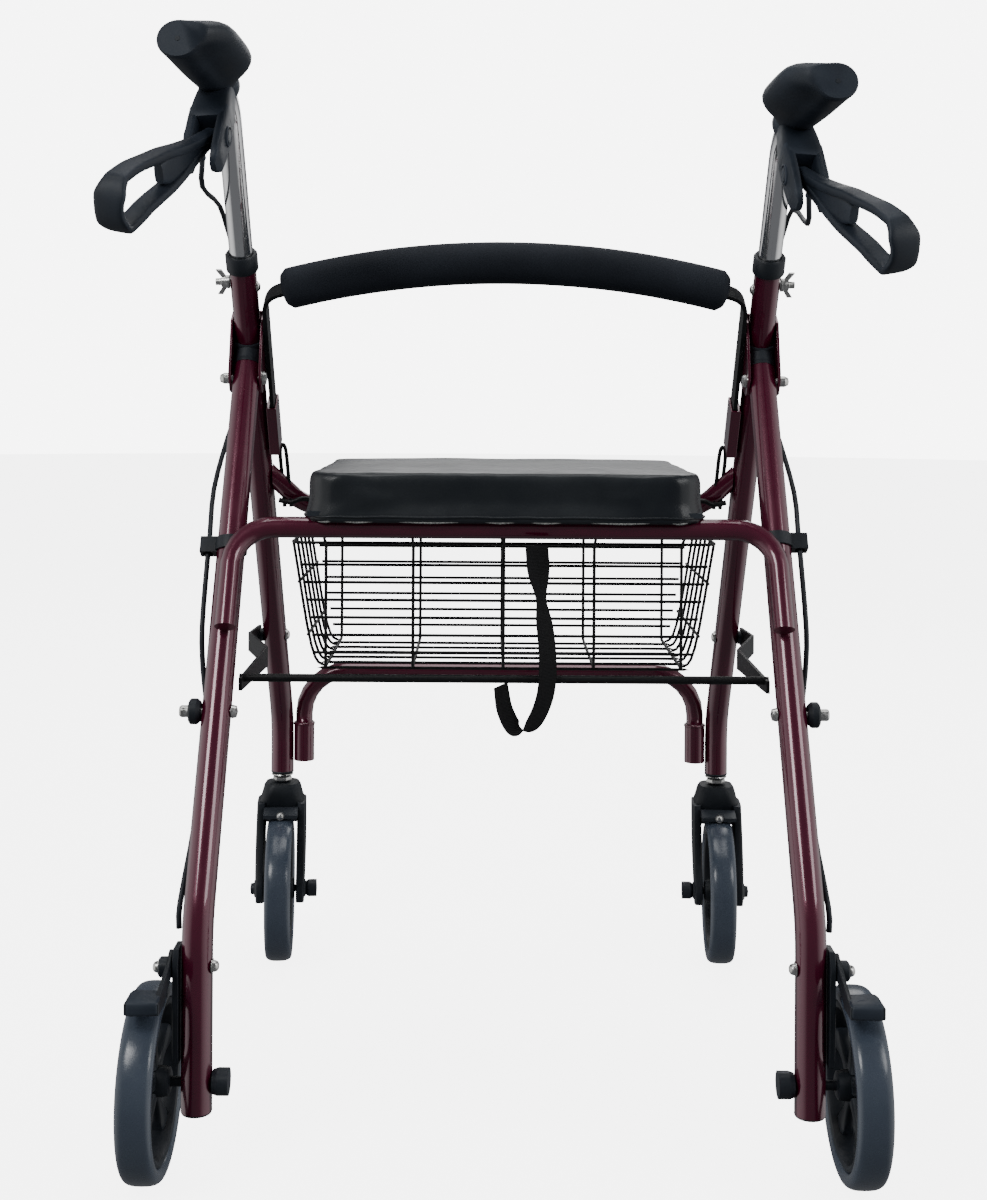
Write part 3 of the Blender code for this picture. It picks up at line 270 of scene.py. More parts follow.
DRESSING = {
    "front_leg": PAINT, "rear_leg": PAINT, "hinge_bracket": PAINT, "backrest_socket": PAINT,
    "front_seat_tube": PAINT, "rear_seat_tube": PAINT, "front_cross_tube": PAINT,
    "handle_tube": CHROME, "leg_collar": PLASTIC,
    "hinge_bolt": ZINC, "lock_bolt": ZINC, "wing_nut": ZINC, "lock_knob": PLASTIC,
    "cable_clip": PLASTIC, "brake_bracket": PLASTIC, "brake_shoe": PLASTIC, "rear_axle": PLASTIC,
    "front_axle": PLASTIC, "brace_arm": STEEL, "brace_rod": STEEL,
    "backrest_strip": STEEL, "seat_board": PLASTIC,
}
EDGE_RADIUS = {
    "hinge_bracket": 0.0008, "backrest_socket": 0.0007,
    "wing_nut": 0.0004, "lock_knob": 0.0006, "cable_clip": 0.0006, "brake_bracket": 0.0009,
    "brake_shoe": 0.0014, "brace_arm": 0.0005, "backrest_strip": 0.0005,
    "leg_collar": 0.0005,
}


# ---------------------------------------------------------------- geometry helpers

def link(obj, body, material):
    """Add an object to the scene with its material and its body."""
    bpy.context.scene.collection.objects.link(obj)
    obj.data.materials.clear()
    obj.data.materials.append(material)
    if body:
        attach(obj, body)
    return obj


def mesh_piece(name, bm, body, material, angle=40):
    bmesh.ops.recalc_face_normals(bm, faces=bm.faces)
    mesh = bpy.data.meshes.new(name)
    bm.to_mesh(mesh)
    bm.free()
    mesh.shade_smooth()
    mesh.set_sharp_from_angle(angle=math.radians(angle))
    return link(bpy.data.objects.new(name, mesh), body, material)


def frame_at(origin, x_axis, y_axis):
    """Matrix with its X along one direction and its Y as near as it can be to another."""
    x_axis = Vector(x_axis).normalized()
    y_axis = Vector(y_axis)
    y_axis = (y_axis - x_axis * y_axis.dot(x_axis)).normalized()
    turn = Matrix((x_axis, y_axis, x_axis.cross(y_axis))).transposed().to_4x4()
    return Matrix.Translation(origin) @ turn


def turn_to(origin, direction):
    """Matrix whose Z points in a direction."""
    return Matrix.Translation(origin) @ Vector(direction).to_track_quat("Z", "Y").to_matrix().to_4x4()


def joint_at(name):
    """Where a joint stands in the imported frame."""
    return Vector(JOINTS[name]["pos_m"])


def circle(count):
    """Cosine and sine of evenly spaced angles round a circle."""
    for step in range(count):
        angle = 2.0 * math.pi * step / count
        yield math.cos(angle), math.sin(angle)


def signed_power(value, power):
    return math.copysign(abs(value) ** power, value)


def superellipse(centre, wide, deep, half_wide, half_deep, power=0.45, count=20):
    """Ring round a centre with half sizes along two directions; a lower power is squarer."""
    return [centre + wide * (signed_power(c, power) * half_wide) + deep * (signed_power(s, power) * half_deep)
            for c, s in circle(count)]


def add_turned(bm, profile, matrix, sides=48, closed=False):
    """Solid of revolution about the matrix's Z. An open profile starts and ends on the axis."""
    rings = []
    for radius, height in profile:
        if radius < 1e-6:
            rings.append([bm.verts.new(matrix @ Vector((0.0, 0.0, height)))])
        else:
            rings.append([bm.verts.new(matrix @ Vector((radius * c, radius * s, height)))
                          for c, s in circle(sides)])
    pairs = list(zip(rings, rings[1:]))
    if closed:
        pairs.append((rings[-1], rings[0]))
    for first, second in pairs:
        for step in range(sides):
            after = (step + 1) % sides
            corners = [first[step % len(first)], first[after % len(first)],
                       second[after % len(second)], second[step % len(second)]]
            unique = list(dict.fromkeys(corners))
            if len(unique) > 2:
                bm.faces.new(unique)


def turned_piece(name, profile, origin, direction, body, material, sides=32):
    bm = bmesh.new()
    add_turned(bm, profile, turn_to(origin, direction), sides)
    return mesh_piece(name, bm, body, material)


def add_loft(bm, rings, caps=True):
    """Skin through closed rings that all have the same number of points."""
    made = [[bm.verts.new(point) for point in ring] for ring in rings]
    count = len(made[0])
    for first, second in zip(made, made[1:]):
        for i in range(count):
            j = (i + 1) % count
            bm.faces.new((first[i], first[j], second[j], second[i]))
    if caps:
        bm.faces.new(made[0][::-1])
        bm.faces.new(made[-1])


def lofted_piece(name, rings, body, material, angle):
    bm = bmesh.new()
    add_loft(bm, rings)
    return mesh_piece(name, bm, body, material, angle)


def smooth_path(points, samples):
    """Points on a Catmull-Rom curve through hand-set points."""
    points = [Vector(p) for p in points]
    ends = [2 * points[0] - points[1], *points, 2 * points[-1] - points[-2]]
    path = []
    for a, b, c, d in zip(ends, ends[1:], ends[2:], ends[3:]):
        for step in range(samples):
            t = step / samples
            path.append(0.5 * (2 * b + (c - a) * t + (2 * a - 5 * b + 4 * c - d) * t**2
                               + (3 * b - a - 3 * c + d) * t**3))
    path.append(points[-1])
    return path

def along_path(path):
    """Each point of a path, as its number, its part of the way, its place and its direction."""
    last = len(path) - 1
    for index, here in enumerate(path):
        before, after = path[max(0, index - 1)], path[min(last, index + 1)]
        yield index, index / last, here, (after - before).normalized()


def wires(name, routes, radius, body, material, resolution=3):
    """One curve object holding a round wire along each route."""
    curve = bpy.data.curves.new(name, "CURVE")
    curve.dimensions = "3D"
    curve.bevel_depth = radius
    curve.bevel_resolution = resolution
    curve.use_fill_caps = True
    for route in routes:
        spline = curve.splines.new("POLY")
        spline.points.add(len(route) - 1)
        for point, place in zip(spline.points, route):
            point.co = (*place, 1.0)
        spline.use_smooth = True
    return link(bpy.data.objects.new(name, curve), body, material)


def cad_mesh(node):
    """Editable copy of a CAD node's mesh, with its doubled points joined."""
    bm = bmesh.new()
    bm.from_mesh(frame["nodes"][node].data)
    bmesh.ops.remove_doubles(bm, verts=bm.verts, dist=DOUBLED_POINTS)
    return bm


def dress(node, material, edge):
    """Smooth, edge-rounded copy of a CAD node, which it replaces."""
    bm = cad_mesh(node)
    bmesh.ops.dissolve_limit(bm, angle_limit=math.radians(0.5), verts=bm.verts, edges=bm.edges)
    piece = mesh_piece(f"{node}_look", bm, BODY_OF[node], material, angle=38)
    if edge:
        bevel = piece.modifiers.new("soft_edges", "BEVEL")
        bevel.width = edge
        bevel.segments = 2
        bevel.limit_method = "ANGLE"
        bevel.angle_limit = math.radians(40)
        bevel.harden_normals = True
    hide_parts(node)


def dress_frame():
    """Dress every carried-over CAD node, then the brake cables."""
    for node in sorted(frame["nodes"]):
        kind = node.rsplit("_", 1)[0] if node.endswith(("_left", "_right")) else node
        if kind in DRESSING:
            dress(node, DRESSING[kind], EDGE_RADIUS.get(kind, 0.0))
    for label, side in SIDES:
        dress_cable(label, side)


def dress_cable(label, side):
    """Brake cable in two lengths, cut at a set height; neither length is attached to a body."""
    node = f"brake_cable_{label}"
    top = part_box(node)[1].z
    lengths = (("look", False, "front_frame", "rear_frame", rear_axis(side, 0.640), rear_axis(side, 0.520)),
               ("top_look", True, f"handle_{label}", "front_frame", front_axis(side, top - 0.020),
                front_axis(side, CABLE_SPLIT_Z + 0.010)))
    for suffix, upper, first, second, start, end in lengths:
        bm = cad_mesh(node)
        cut = bmesh.ops.bisect_plane(bm, geom=bm.verts[:] + bm.edges[:] + bm.faces[:],
                                     plane_co=UP * CABLE_SPLIT_Z, plane_no=UP, clear_inner=upper,
                                     clear_outer=not upper)
        bmesh.ops.holes_fill(bm, edges=[e for e in cut["geom_cut"] if isinstance(e, bmesh.types.BMEdge)])
        piece = mesh_piece(f"{node}_{suffix}", bm, None, PLASTIC, angle=60)
        if not upper:
            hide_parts(node)
        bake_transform(piece)


# ---------------------------------------------------------------- wheels

def wheel_looks(prefix, label):
    """Tyre with a bead on each side, and a rim with a hub and five spokes."""
    joint = JOINTS[f"{prefix}_wheel_spin_{label}"]
    matrix = turn_to(Vector(joint["pos_m"]), joint["axis"])
    body = f"{prefix}_wheel_{label}"
    half = TYRE_WIDTH / 2
    half_depth = TYRE_DEPTH / 2 + 0.0005
    tyre_profile = [(WHEEL_R - half_depth + signed_power(c, 0.75) * half_depth, signed_power(s, 0.70) * half)
                    for c, s in circle(28)]
    bm = bmesh.new()
    add_turned(bm, tyre_profile, matrix, 112, closed=True)
    bead_r = 0.0009
    for sign in (-1, 1):
        bead = [(WHEEL_R - 0.0100 + bead_r * c, sign * (half - 0.0022) + bead_r * s) for c, s in circle(8)]
        add_turned(bm, bead, matrix, 112, closed=True)
    tyre = mesh_piece(f"{prefix}_tyre_{label}_look", bm, body, TYRE, 60)
    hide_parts(f"{prefix}_tyre_{label}")
    bm = bmesh.new()
    rim_r = WHEEL_R - TYRE_DEPTH
    lip = [(rim_r, half - 0.0030), (rim_r - 0.0020, half - 0.0018), (rim_r - 0.0045, half - 0.0030),
           (rim_r - 0.0055, half - 0.0065)]
    outer = lip + [(rim_r - 0.0060, 0.0)] + [(radius, -height) for radius, height in lip[::-1]]
    add_turned(bm, outer, matrix, 96, closed=True)
    flange = [(0.0043, half + 0.0020), (0.0085, half + 0.0020), (0.0110, half + 0.0008),
              (0.0118, half - 0.0040)]
    hub = flange + [(0.0125, 0.0)] + [(radius, -height) for radius, height in flange[::-1]]
    add_turned(bm, hub, matrix, 48, closed=True)
    hub_r = 0.0112
    for spoke in range(5):
        turn = matrix @ Matrix.Rotation(math.radians(72 * spoke + 18), 4, "Z")
        rings = []
        for step in range(9):
            t = step / 8
            reach = hub_r + t * (rim_r - 0.0055 - hub_r)
            width = 0.0078 - 0.0034 * math.sin(math.pi * min(1.0, 1.15 * t)) + 0.002 * t**4
            depth = 0.0062 - 0.0016 * math.sin(math.pi * t)
            rings.append(superellipse(turn @ Vector((reach, 0.0, 0.0)), turn.col[1].to_3d(),
                                      turn.col[2].to_3d(), width, depth, 0.5, 12))
        add_loft(bm, rings)
    rim = mesh_piece(f"{prefix}_rim_{label}_look", bm, body, PLASTIC, 45)
    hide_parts(f"{prefix}_rim_{label}")


def fork_looks(label):
    """Moulded caster fork: rounded crown under the leg, ribbed cheeks trailing to the axle."""
    stem = joint_at(f"caster_swivel_{label}")
    axle = joint_at(f"front_wheel_spin_{label}")
    across = Vector(JOINTS[f"front_wheel_spin_{label}"]["axis"])
    behind = (axle - stem).to_2d()
    trail = behind.length
    back = Vector((behind.x, behind.y, 0.0)).normalized()
    matrix = frame_at(Vector((stem.x, stem.y, 0.0)), -back, UP)
    lengthwise, sideways = matrix.col[0].to_3d(), matrix.col[2].to_3d()
    cross_sign = 1.0 if sideways.dot(across) > 0 else -1.0
    bm = bmesh.new()
    rings = []
    for z, half_x, half_z in ((0.1832, 0.0150, 0.0150), (0.1830, 0.0180, 0.0180), (0.1790, 0.0200, 0.0205),
                              (0.1700, 0.0212, 0.0228), (0.1600, 0.0214, 0.0262), (0.1575, 0.0205, 0.0266),
                              (0.1570, 0.0180, 0.0240)):
        rings.append([matrix @ Vector((x, z, y)) for x, y in rounded_outline(half_x, half_z, 0.0120, 6)])
    add_loft(bm, rings)
    pin = [(0.0, 0.0088), (0.0086, 0.0088), (0.0086, -0.002), (0.0, -0.002)]
    add_turned(bm, pin, turn_to(Vector((stem.x, stem.y, 0.1865)), UP), 32)
    guard = []
    for step in range(15):
        angle = math.radians(50 + 45 * step / 14)
        out = -back * math.cos(angle) + UP * math.sin(angle)
        near = WHEEL_R + 0.0022
        far = WHEEL_R + 0.0105 - 0.0045 * max(0.0, step - 9) / 5
        guard.append([axle + across * (0.0186 * s) + out * r
                      for s, r in ((-1, near), (1, near), (1, far), (-1, far))])
    add_loft(bm, guard)
    cheek_top, cheek_low = 0.164, 0.0625
    for sign in (-1, 1):
        rings = []
        for step in range(15):
            t = step / 14
            z = cheek_top - t * (cheek_top - cheek_low)
            reach = -trail * (0.10 + 0.90 * min(1.0, t * 1.20) ** 1.1)
            width = 0.0215 - 0.0085 * math.sin(math.pi * 0.5 * min(1.0, t * 1.1))
            width += 0.0012 * max(0.0, t - 0.7) * 10 / 3
            if t > 0.93:
                width *= 0.72
            inner = 0.0172
            outer = 0.0272 + 0.0010 * math.sin(math.pi * t) - 0.0006 * t
            centre = matrix @ Vector((reach, z, sign * (inner + outer) / 2))
            half = (outer - inner) / 2
            rings.append(superellipse(centre, lengthwise, sideways * sign, width, half, 0.5, 16))
        add_loft(bm, rings)
        boss = [(0.0, 0.0282), (0.0085, 0.0282), (0.0098, 0.0268), (0.0098, 0.0180), (0.0, 0.0180)]
        add_turned(bm, boss, turn_to(axle, across * cross_sign * sign), 32)
    fork = mesh_piece(f"caster_fork_{label}_look", bm, f"caster_{label}", PLASTIC, 40)
    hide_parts(f"caster_fork_{label}")


# ---------------------------------------------------------------- handles

def handle_facts(label, side):
    """Bend corner, grip direction, lever pivot, lever direction and lever axis."""
    pivot = joint_at(f"lever_squeeze_{label}")
    corner = pivot - Vector((side * 0.003, -0.078, -0.052))
    flare, rise = math.radians(4.5), math.radians(4.5)
    grip_dir = Vector((side * math.sin(flare) * math.cos(rise), -math.cos(flare) * math.cos(rise),
                       math.sin(rise)))
    along = Vector((side * 0.333, -0.815, -0.475)).normalized()
    axis = (Vector((1, 0, 0)) - along * along.x).normalized()
    return corner, grip_dir, pivot, along, axis


def grip_looks(label, side):
    """Moulded grip that swells into a palm wing, with a flange and a hole in its end."""
    corner, grip_dir, _, _, _ = handle_facts(label, side)
    matrix = frame_at(corner, grip_dir, Vector((-side, 0, 0)))
    up_sign = 1.0 if matrix.col[2].to_3d().dot(UP) > 0 else -1.0
    start, length, end_round = 0.034, 0.128, 0.004
    stations, around = 46, 64
    rings = []
    for step in range(stations + 1):
        t = step / stations
        body_r = 0.0150 + 0.0011 * math.sin(math.pi * t) ** 2 + 0.0016 * t**3
        from_end = min(1.0, (1.0 - t) * length / end_round, t * length / end_round)
        body_r *= 0.90 + 0.10 * math.sqrt(max(0.0, 1.0 - (1.0 - from_end) ** 2))
        swell = math.exp(-((t - 0.53) / 0.45) ** 6)
        ring = []
        for k in range(around):
            angle = 2.0 * math.pi * k / around
            facing = max(0.0, math.cos(angle - 0.34)) ** 7
            reach = body_r + 0.0235 * swell * facing + 0.0010 * math.cos(angle * 2.0)
            ring.append(matrix @ Vector((start + t * length, reach * math.cos(angle),
                                         up_sign * reach * math.sin(angle))))
        rings.append(ring)
    grip = lofted_piece(f"grip_{label}_look", rings, BODY_OF[f"grip_{label}"], GRIP, 50)
    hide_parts(f"grip_{label}")
    turned_piece(f"grip_hole_{label}", [(0.0, 0.0003), (0.0019, 0.0003), (0.0024, -0.0012), (0.0, -0.0014)],
                 corner + grip_dir * (start + length), grip_dir, f"handle_{label}", PLASTIC)
    turned_piece(f"grip_flange_{label}",
                 [(0.0, 0.0050), (0.0140, 0.0050), (0.0158, 0.0035), (0.0162, 0.0), (0.0158, -0.0035),
                  (0.0140, -0.0050), (0.0, -0.0050)],
                 corner + grip_dir * (start + 0.004), grip_dir, f"handle_{label}", GRIP, 48)


def cable_ferrule(label, side):
    """Moulded spout that carries the cable out of the brake housing."""
    _, _, pivot, _, _ = handle_facts(label, side)
    start = pivot + Vector((side * 0.0100, 0.0020, -0.0020))
    end = pivot + Vector((side * 0.0100, 0.0345, -0.0120))
    for name, route, radius in (("cable_spout", [start, start.lerp(end, 0.55)], 0.0046),
                                ("cable_ferrule", [start, start.lerp(end, 0.70), end], 0.0031)):
        wires(f"{name}_{label}", [route], radius, f"handle_{label}", GRIP, 4)


def lever_looks(label, side):
    """Loop lever: arms from a hub, opening into a wide ribbed band for the fingers."""
    _, _, pivot, along, axis = handle_facts(label, side)
    matrix = frame_at(pivot, along, axis.cross(along))
    loop_x, loop_r = 0.158 - 0.0240, 0.0212
    line = [(-0.004, 0.0015), (0.014, 0.0040), (0.034, 0.0080), (0.052, 0.0120), (0.072, 0.0150),
            (0.092, 0.0160), (0.108, 0.0172), (0.120, 0.0192)]
    for step in range(15):
        angle = math.radians(78 - 156 * step / 14)
        line.append((loop_x + loop_r * math.cos(angle), loop_r * math.sin(angle)))
    line += [(0.120, -0.0208), (0.106, -0.0190), (0.090, -0.0165), (0.072, -0.0140), (0.052, -0.0095),
             (0.034, -0.0060), (0.014, -0.0030), (-0.004, -0.0010)]
    rings = []
    for index, t, here, run in along_path(smooth_path([matrix @ Vector((x, y, 0.0)) for x, y in line], 3)):
        out = run.cross(axis).normalized()
        middle = math.exp(-((t - 0.50) / 0.20) ** 4)
        flare = math.exp(-((t - 0.40) / 0.045) ** 2) + math.exp(-((t - 0.60) / 0.045) ** 2)
        half = 0.0066 + 0.0024 * min(1.0, 6.0 * t, 6.0 * (1.0 - t)) + 0.0032 * middle + 0.0012 * flare
        thick = 0.0040 - 0.0013 * middle + 0.0003 * middle * (index % 2)
        rings.append(superellipse(here, axis, out, half, thick))
    bm = bmesh.new()
    add_loft(bm, rings)
    web = []
    for step in range(12):
        tall = 0.0060 + 0.0085 * step / 10 if step < 10 else 0.0125 - 0.004 * (step - 10)
        web.append(superellipse(matrix @ Vector((-0.007 + 0.088 * step / 11, 0.0, 0.0)), axis,
                                matrix.col[1].to_3d(), 0.0062 if step < 11 else 0.0040, tall, 0.6))
    add_loft(bm, web)
    lever = mesh_piece(f"brake_lever_{label}_look", bm, f"lever_{label}", GRIP, 50)
    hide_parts(f"brake_lever_{label}")


def housing_looks(label, side):
    """Brake housing: a ring on the bend, a tapering body and two cheeks beside the lever hub."""
    corner, grip_dir, pivot, _, axis = handle_facts(label, side)
    clamp = corner + grip_dir * 0.0245
    down = pivot - clamp
    run = down.normalized()
    wide = (axis - run * axis.dot(run)).normalized()
    deep = run.cross(wide).normalized()
    bm = bmesh.new()
    shell = [(0.0145, -0.0095), (0.0158, -0.0078), (0.0162, 0.0), (0.0158, 0.0078), (0.0145, 0.0095),
             (0.0114, 0.0095), (0.0114, -0.0095)]
    add_turned(bm, shell, turn_to(clamp, grip_dir), 40, closed=True)
    rings = []
    start, stop = 0.009, down.length - 0.0130
    for step in range(13):
        t = step / 12
        last_step = 0.0015 if step == 12 else 0.0
        half_wide = 0.0135 + 0.0038 * math.sin(math.pi * 0.5 * t) - last_step
        half_deep = 0.0125 + 0.0028 * math.sin(math.pi * 0.7 * t) - last_step
        rings.append(superellipse(clamp + run * (start + (stop - start) * t), wide, deep, half_wide,
                                  half_deep, 0.42, 28))
    add_loft(bm, rings)
    inner, outer = 0.0076, 0.0172
    for sign in (-1, 1):
        rings = []
        for step in range(13):
            t = step / 12
            reach = stop - 0.014 + (0.014 + 0.0130 + 0.0400) * t
            fade = math.sqrt(max(0.0, 1.0 - t**3))
            rounding = 0.7 if t > 0.97 else 1.0
            half_deep = 0.0138 * (0.50 + 0.50 * fade) * rounding
            thick = (outer - inner) / 2 * (0.72 + 0.28 * fade) * rounding
            centre = clamp + run * reach + wide * (sign * (inner + thick))
            rings.append(superellipse(centre, wide, deep, thick, half_deep, 0.5, 24))
        add_loft(bm, rings)
    housing = mesh_piece(f"brake_housing_{label}_look", bm, f"handle_{label}", GRIP, 50)
    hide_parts(f"brake_housing_{label}")
    cap = [(0.0, 0.0024), (0.0046, 0.0023), (0.0054, 0.0012), (0.0060, 0.0012), (0.0066, 0.0022),
           (0.0073, 0.0016), (0.0077, -0.0010), (0.0, -0.0010)]
    for sign, where in ((-1, "a"), (1, "b")):
        facing = frame_at(pivot + wide * (sign * 0.0164), run, wide * sign)
        oval = Matrix((facing.col[0], facing.col[2], facing.col[1], facing.col[3])).transposed()
        bm = bmesh.new()
        add_turned(bm, cap, oval @ Matrix.Diagonal((1.45, 1.0, 1.0, 1.0)), 40)
        mesh_piece(f"pivot_cap_{label}_{where}", bm, f"handle_{label}", GRIP, 40)


# ---------------------------------------------------------------- seat and backrest

def rounded_outline(half_x, half_y, corner, steps=10):
    """Points round a rectangle with rounded corners, centred on the origin."""
    points = []
    for sx, sy, start in ((1, 1, 0), (-1, 1, 90), (-1, -1, 180), (1, -1, 270)):
        for step in range(steps + 1):
            angle = math.radians(start + 90 * step / steps)
            points.append((sx * (half_x - corner) + corner * math.cos(angle),
                           sy * (half_y - corner) + corner * math.sin(angle)))
    return points


def cushion():
    """Seat cushion: a slightly smaller block inflated as cloth, capped, then subdivided."""
    low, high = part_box("seat_pad")
    centre = (low + high) / 2
    half = (high - low) / 2
    skirt = low.z - 0.0111
    margin, corner = 0.0008, 0.030

    def skirt_z(y):
        return skirt + 0.0080 * min(1.0, max(0.0, (y + 0.060) / 0.10))

    rings = []
    for t, shrink in ((0.0, 0.0020), (0.06, 0.0), (0.5, 0.0), (0.86, 0.0), (0.95, 0.0016), (1.0, 0.0050)):
        outline = rounded_outline(half.x - margin - shrink, half.y - margin - shrink, corner)
        rings.append([Vector((centre.x + x, centre.y + y, skirt_z(y) + t * (high.z - 0.0010 - skirt_z(y))))
                      for x, y in outline])
    pad = lofted_piece("seat_cushion", rings, "seat", VINYL, 60)
    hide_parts("seat_pad")
    bpy.context.view_layer.objects.active = pad
    remesh = pad.modifiers.new("remesh", "REMESH")
    remesh.mode = "VOXEL"
    remesh.voxel_size = 0.0045
    apply_modifiers(pad)
    rest = [v.co.copy() for v in pad.data.vertices]
    inflate(pad, 4.0, 20)
    shape_cushion(pad, rest, Vector((low.x, low.y, skirt)), high)
    fine = pad.modifiers.new("fine", "SUBSURF")
    fine.levels = 1
    fine.render_levels = 1
    piping("seat_piping_bottom", half, centre, lambda y: skirt_z(y) + 0.0062, 0.0014, 0.0012,
           VINYL, 0.0003)
    piping("seat_welt", half, centre, lambda y: skirt_z(y) + 0.0024, 0.0030, 0.0011,
           THREAD, 0.0009)


def inflate(pad, pressure, frames):
    """Swell a closed mesh as cloth without gravity, and keep the result."""
    cloth = pad.modifiers.new("cloth", "CLOTH")
    cloth.settings.use_pressure = True
    cloth.settings.uniform_pressure_force = pressure
    cloth.settings.effector_weights.gravity = 0.0
    cloth.settings.quality = 5
    cloth.point_cache.frame_start = 1
    cloth.point_cache.frame_end = frames
    for number in range(1, frames + 1):
        bpy.context.scene.frame_set(number)
    apply_modifiers(pad)
    bpy.context.scene.frame_set(1)


def apply_modifiers(obj):
    """Keep the result of an object's modifiers as its mesh."""
    depsgraph = bpy.context.evaluated_depsgraph_get()
    mesh = bpy.data.meshes.new_from_object(obj.evaluated_get(depsgraph))
    obj.modifiers.clear()
    old = obj.data
    obj.data = mesh
    bpy.data.meshes.remove(old)
    mesh.shade_smooth()


def shape_cushion(pad, rest, low, high):
    """Cap the swelling, hold the rim, keep the underside flat and crown the top gently."""
    most_move, held_rim, full_move = 0.0045, 0.004, 0.014
    centre = (low + high) / 2
    half = (high - low) / 2
    for vert, start in zip(pad.data.vertices, rest):
        move = vert.co - start
        if move.length > most_move:
            move = move.normalized() * most_move
        place = start + move * min(1.0, max(0.0, (start.z - low.z - held_rim) / full_move))
        u = min(1.0, abs(start.x - centre.x) / half.x)
        v = min(1.0, abs(start.y - centre.y) / half.y)
        if start.z > centre.z:
            crown = 0.0030 * (1.0 - u**4) * (1.0 - v**4)
            wave = 0.0006 * noise.noise(start * 26.0)
            place.z = min(place.z, high.z - 0.0015) + crown + wave
        else:
            place.z = max(place.z, low.z + 0.0002)
        vert.co = place


def piping(name, half, centre, height, inset, radius, material, wobble):
    """Cord sewn round the seat edge at a height that may change from front to back."""
    outline = rounded_outline(half.x - inset, half.y - inset, 0.030, 14)
    route = []
    for index, (start, end) in enumerate(zip(outline, outline[1:] + outline[:1])):
        start, end = Vector(start), Vector(end)
        pieces = max(1, round((end - start).length / 0.008))
        for step in range(pieces):
            spot = start.lerp(end, step / pieces)
            lift = wobble * math.sin((index + step) * 0.9 + 1.3 * math.sin(step * 0.31))
            route.append((centre.x + spot.x, centre.y + spot.y, height(spot.y) + lift))
    wires(name, [route + route[:1]], radius, "seat", material)


def backrest_sleeve():
    """Foam sleeve along the arched strip, closed and rounded at both ends."""
    low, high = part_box("backrest_pad")
    pad_r, arch_r, half = 0.0195, 0.729, 0.206
    crown = Vector((0.0, low.y + pad_r, high.z - pad_r))
    stations, around = 90, 48
    rings = []
    for step in range(stations + 1):
        t = step / stations
        x = -half + 2.0 * half * t
        rise = math.sqrt(arch_r**2 - x * x)
        centre = crown + Vector((x, 0, 0)) + FRONT_UP * (rise - arch_r)
        run = (Vector((1, 0, 0)) + FRONT_UP * (-x / rise)).normalized()
        side = run.cross(FRONT_UP).normalized()
        up = side.cross(run).normalized()
        from_end = min(t, 1.0 - t) * 2.0 * half
        shrink = 0.80 + 0.20 * math.sqrt(max(0.0, 1.0 - (1.0 - min(1.0, from_end / 0.006)) ** 2))
        ring = []
        for c, s in circle(around):
            dent = 1.0 + 0.010 * noise.noise(Vector((x * 12.0, c, s * 1.3)))
            radius = pad_r * shrink * dent
            ring.append(centre + side * (radius * c) + up * (radius * s))
        rings.append(ring)
    sleeve = lofted_piece("backrest_sleeve", rings, "backrest", FOAM, 60)
    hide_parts("backrest_pad")


# ---------------------------------------------------------------- basket, side loops and strap

def basket_wires():
    """Grid of thin wires, heavier frame wires and rim, and hooks over the rear seat tube."""
    low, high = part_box("basket")
    top_half, bottom_half = high.x, high.x - 0.021
    inset = WIRE_R + 0.0003
    rear, front = low.y + inset, high.y - inset
    bottom, top = low.z + WIRE_R, high.z

    def half_at(z):
        return bottom_half + (top_half - bottom_half) * (z - low.z) / (high.z - low.z) - inset

    rows = []
    levels = 7
    pitch = (top - bottom - 0.004) / levels
    for level in range(1, levels):
        z = bottom + level * pitch
        half = half_at(z)
        for y in (rear, front):
            rows.append([(-half + 0.004, y, z), (half - 0.004, y, z)])
        if level in (2, 5):
            for side in (-1, 1):
                rows.append([(side * half, rear + 0.003, z), (side * half, front - 0.003, z)])
    half_top, half_low, half_bend = half_at(top), half_at(bottom), half_at(bottom + 0.02)
    right = [(half_low - 0.03, bottom), (half_low - 0.010, bottom + 0.0015), (half_bend, bottom + 0.02),
             (half_top, top)]
    hoop = [(-x, z) for x, z in right[::-1]] + right
    for count in range(6):
        y = rear + 0.014 + count * (front - rear - 0.028) / 5
        rows.append(smooth_path([(x, y, z) for x, z in hoop], 4))
    grid = wires("basket_grid", rows, WIRE_R, "basket", STEEL, 2)
    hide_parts("basket")
    over = 2 * WIRE_R
    frames = []
    for x in BASKET_WIRE_X:
        frames.append(smooth_path([
            (x, rear + over, top), (x, rear + over, bottom + 0.016),
            (x, rear + over + 0.003, bottom + over + 0.002), (x, rear + 0.020, bottom + over),
            (x, front - 0.020, bottom + over), (x, front - over - 0.003, bottom + over + 0.002),
            (x, front - over, bottom + 0.016), (x, front - over, top)], 5))
    rim = rounded_outline(half_top, (front - rear) / 2, 0.012, 6)
    middle = (front + rear) / 2
    frames.append([(x, middle + y, top) for x, y in rim + rim[:1]])
    wires("basket_frame", frames, RIM_WIRE_R * 0.75, "basket", STEEL, 3)
    rail_y = joint_at("basket_tilt").y
    rail_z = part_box("rear_seat_tube")[1].z - SEAT_TUBE_R
    reach = SEAT_TUBE_R + WIRE_R + 0.0004
    hooks = []
    for x in BASKET_WIRE_X:
        hooks.append(smooth_path([
            (x, rear + 0.003, top - 0.012), (x, rear, top - 0.001), (x, rear - 0.016, top + 0.006),
            (x, rail_y + reach + 0.004, rail_z + 0.003), (x, rail_y + reach * 0.80, rail_z + reach * 0.60),
            (x, rail_y + reach * 0.45, rail_z + reach * 0.89)], 5))
    wires("basket_hooks", hooks, WIRE_R, "basket", STEEL, 3)


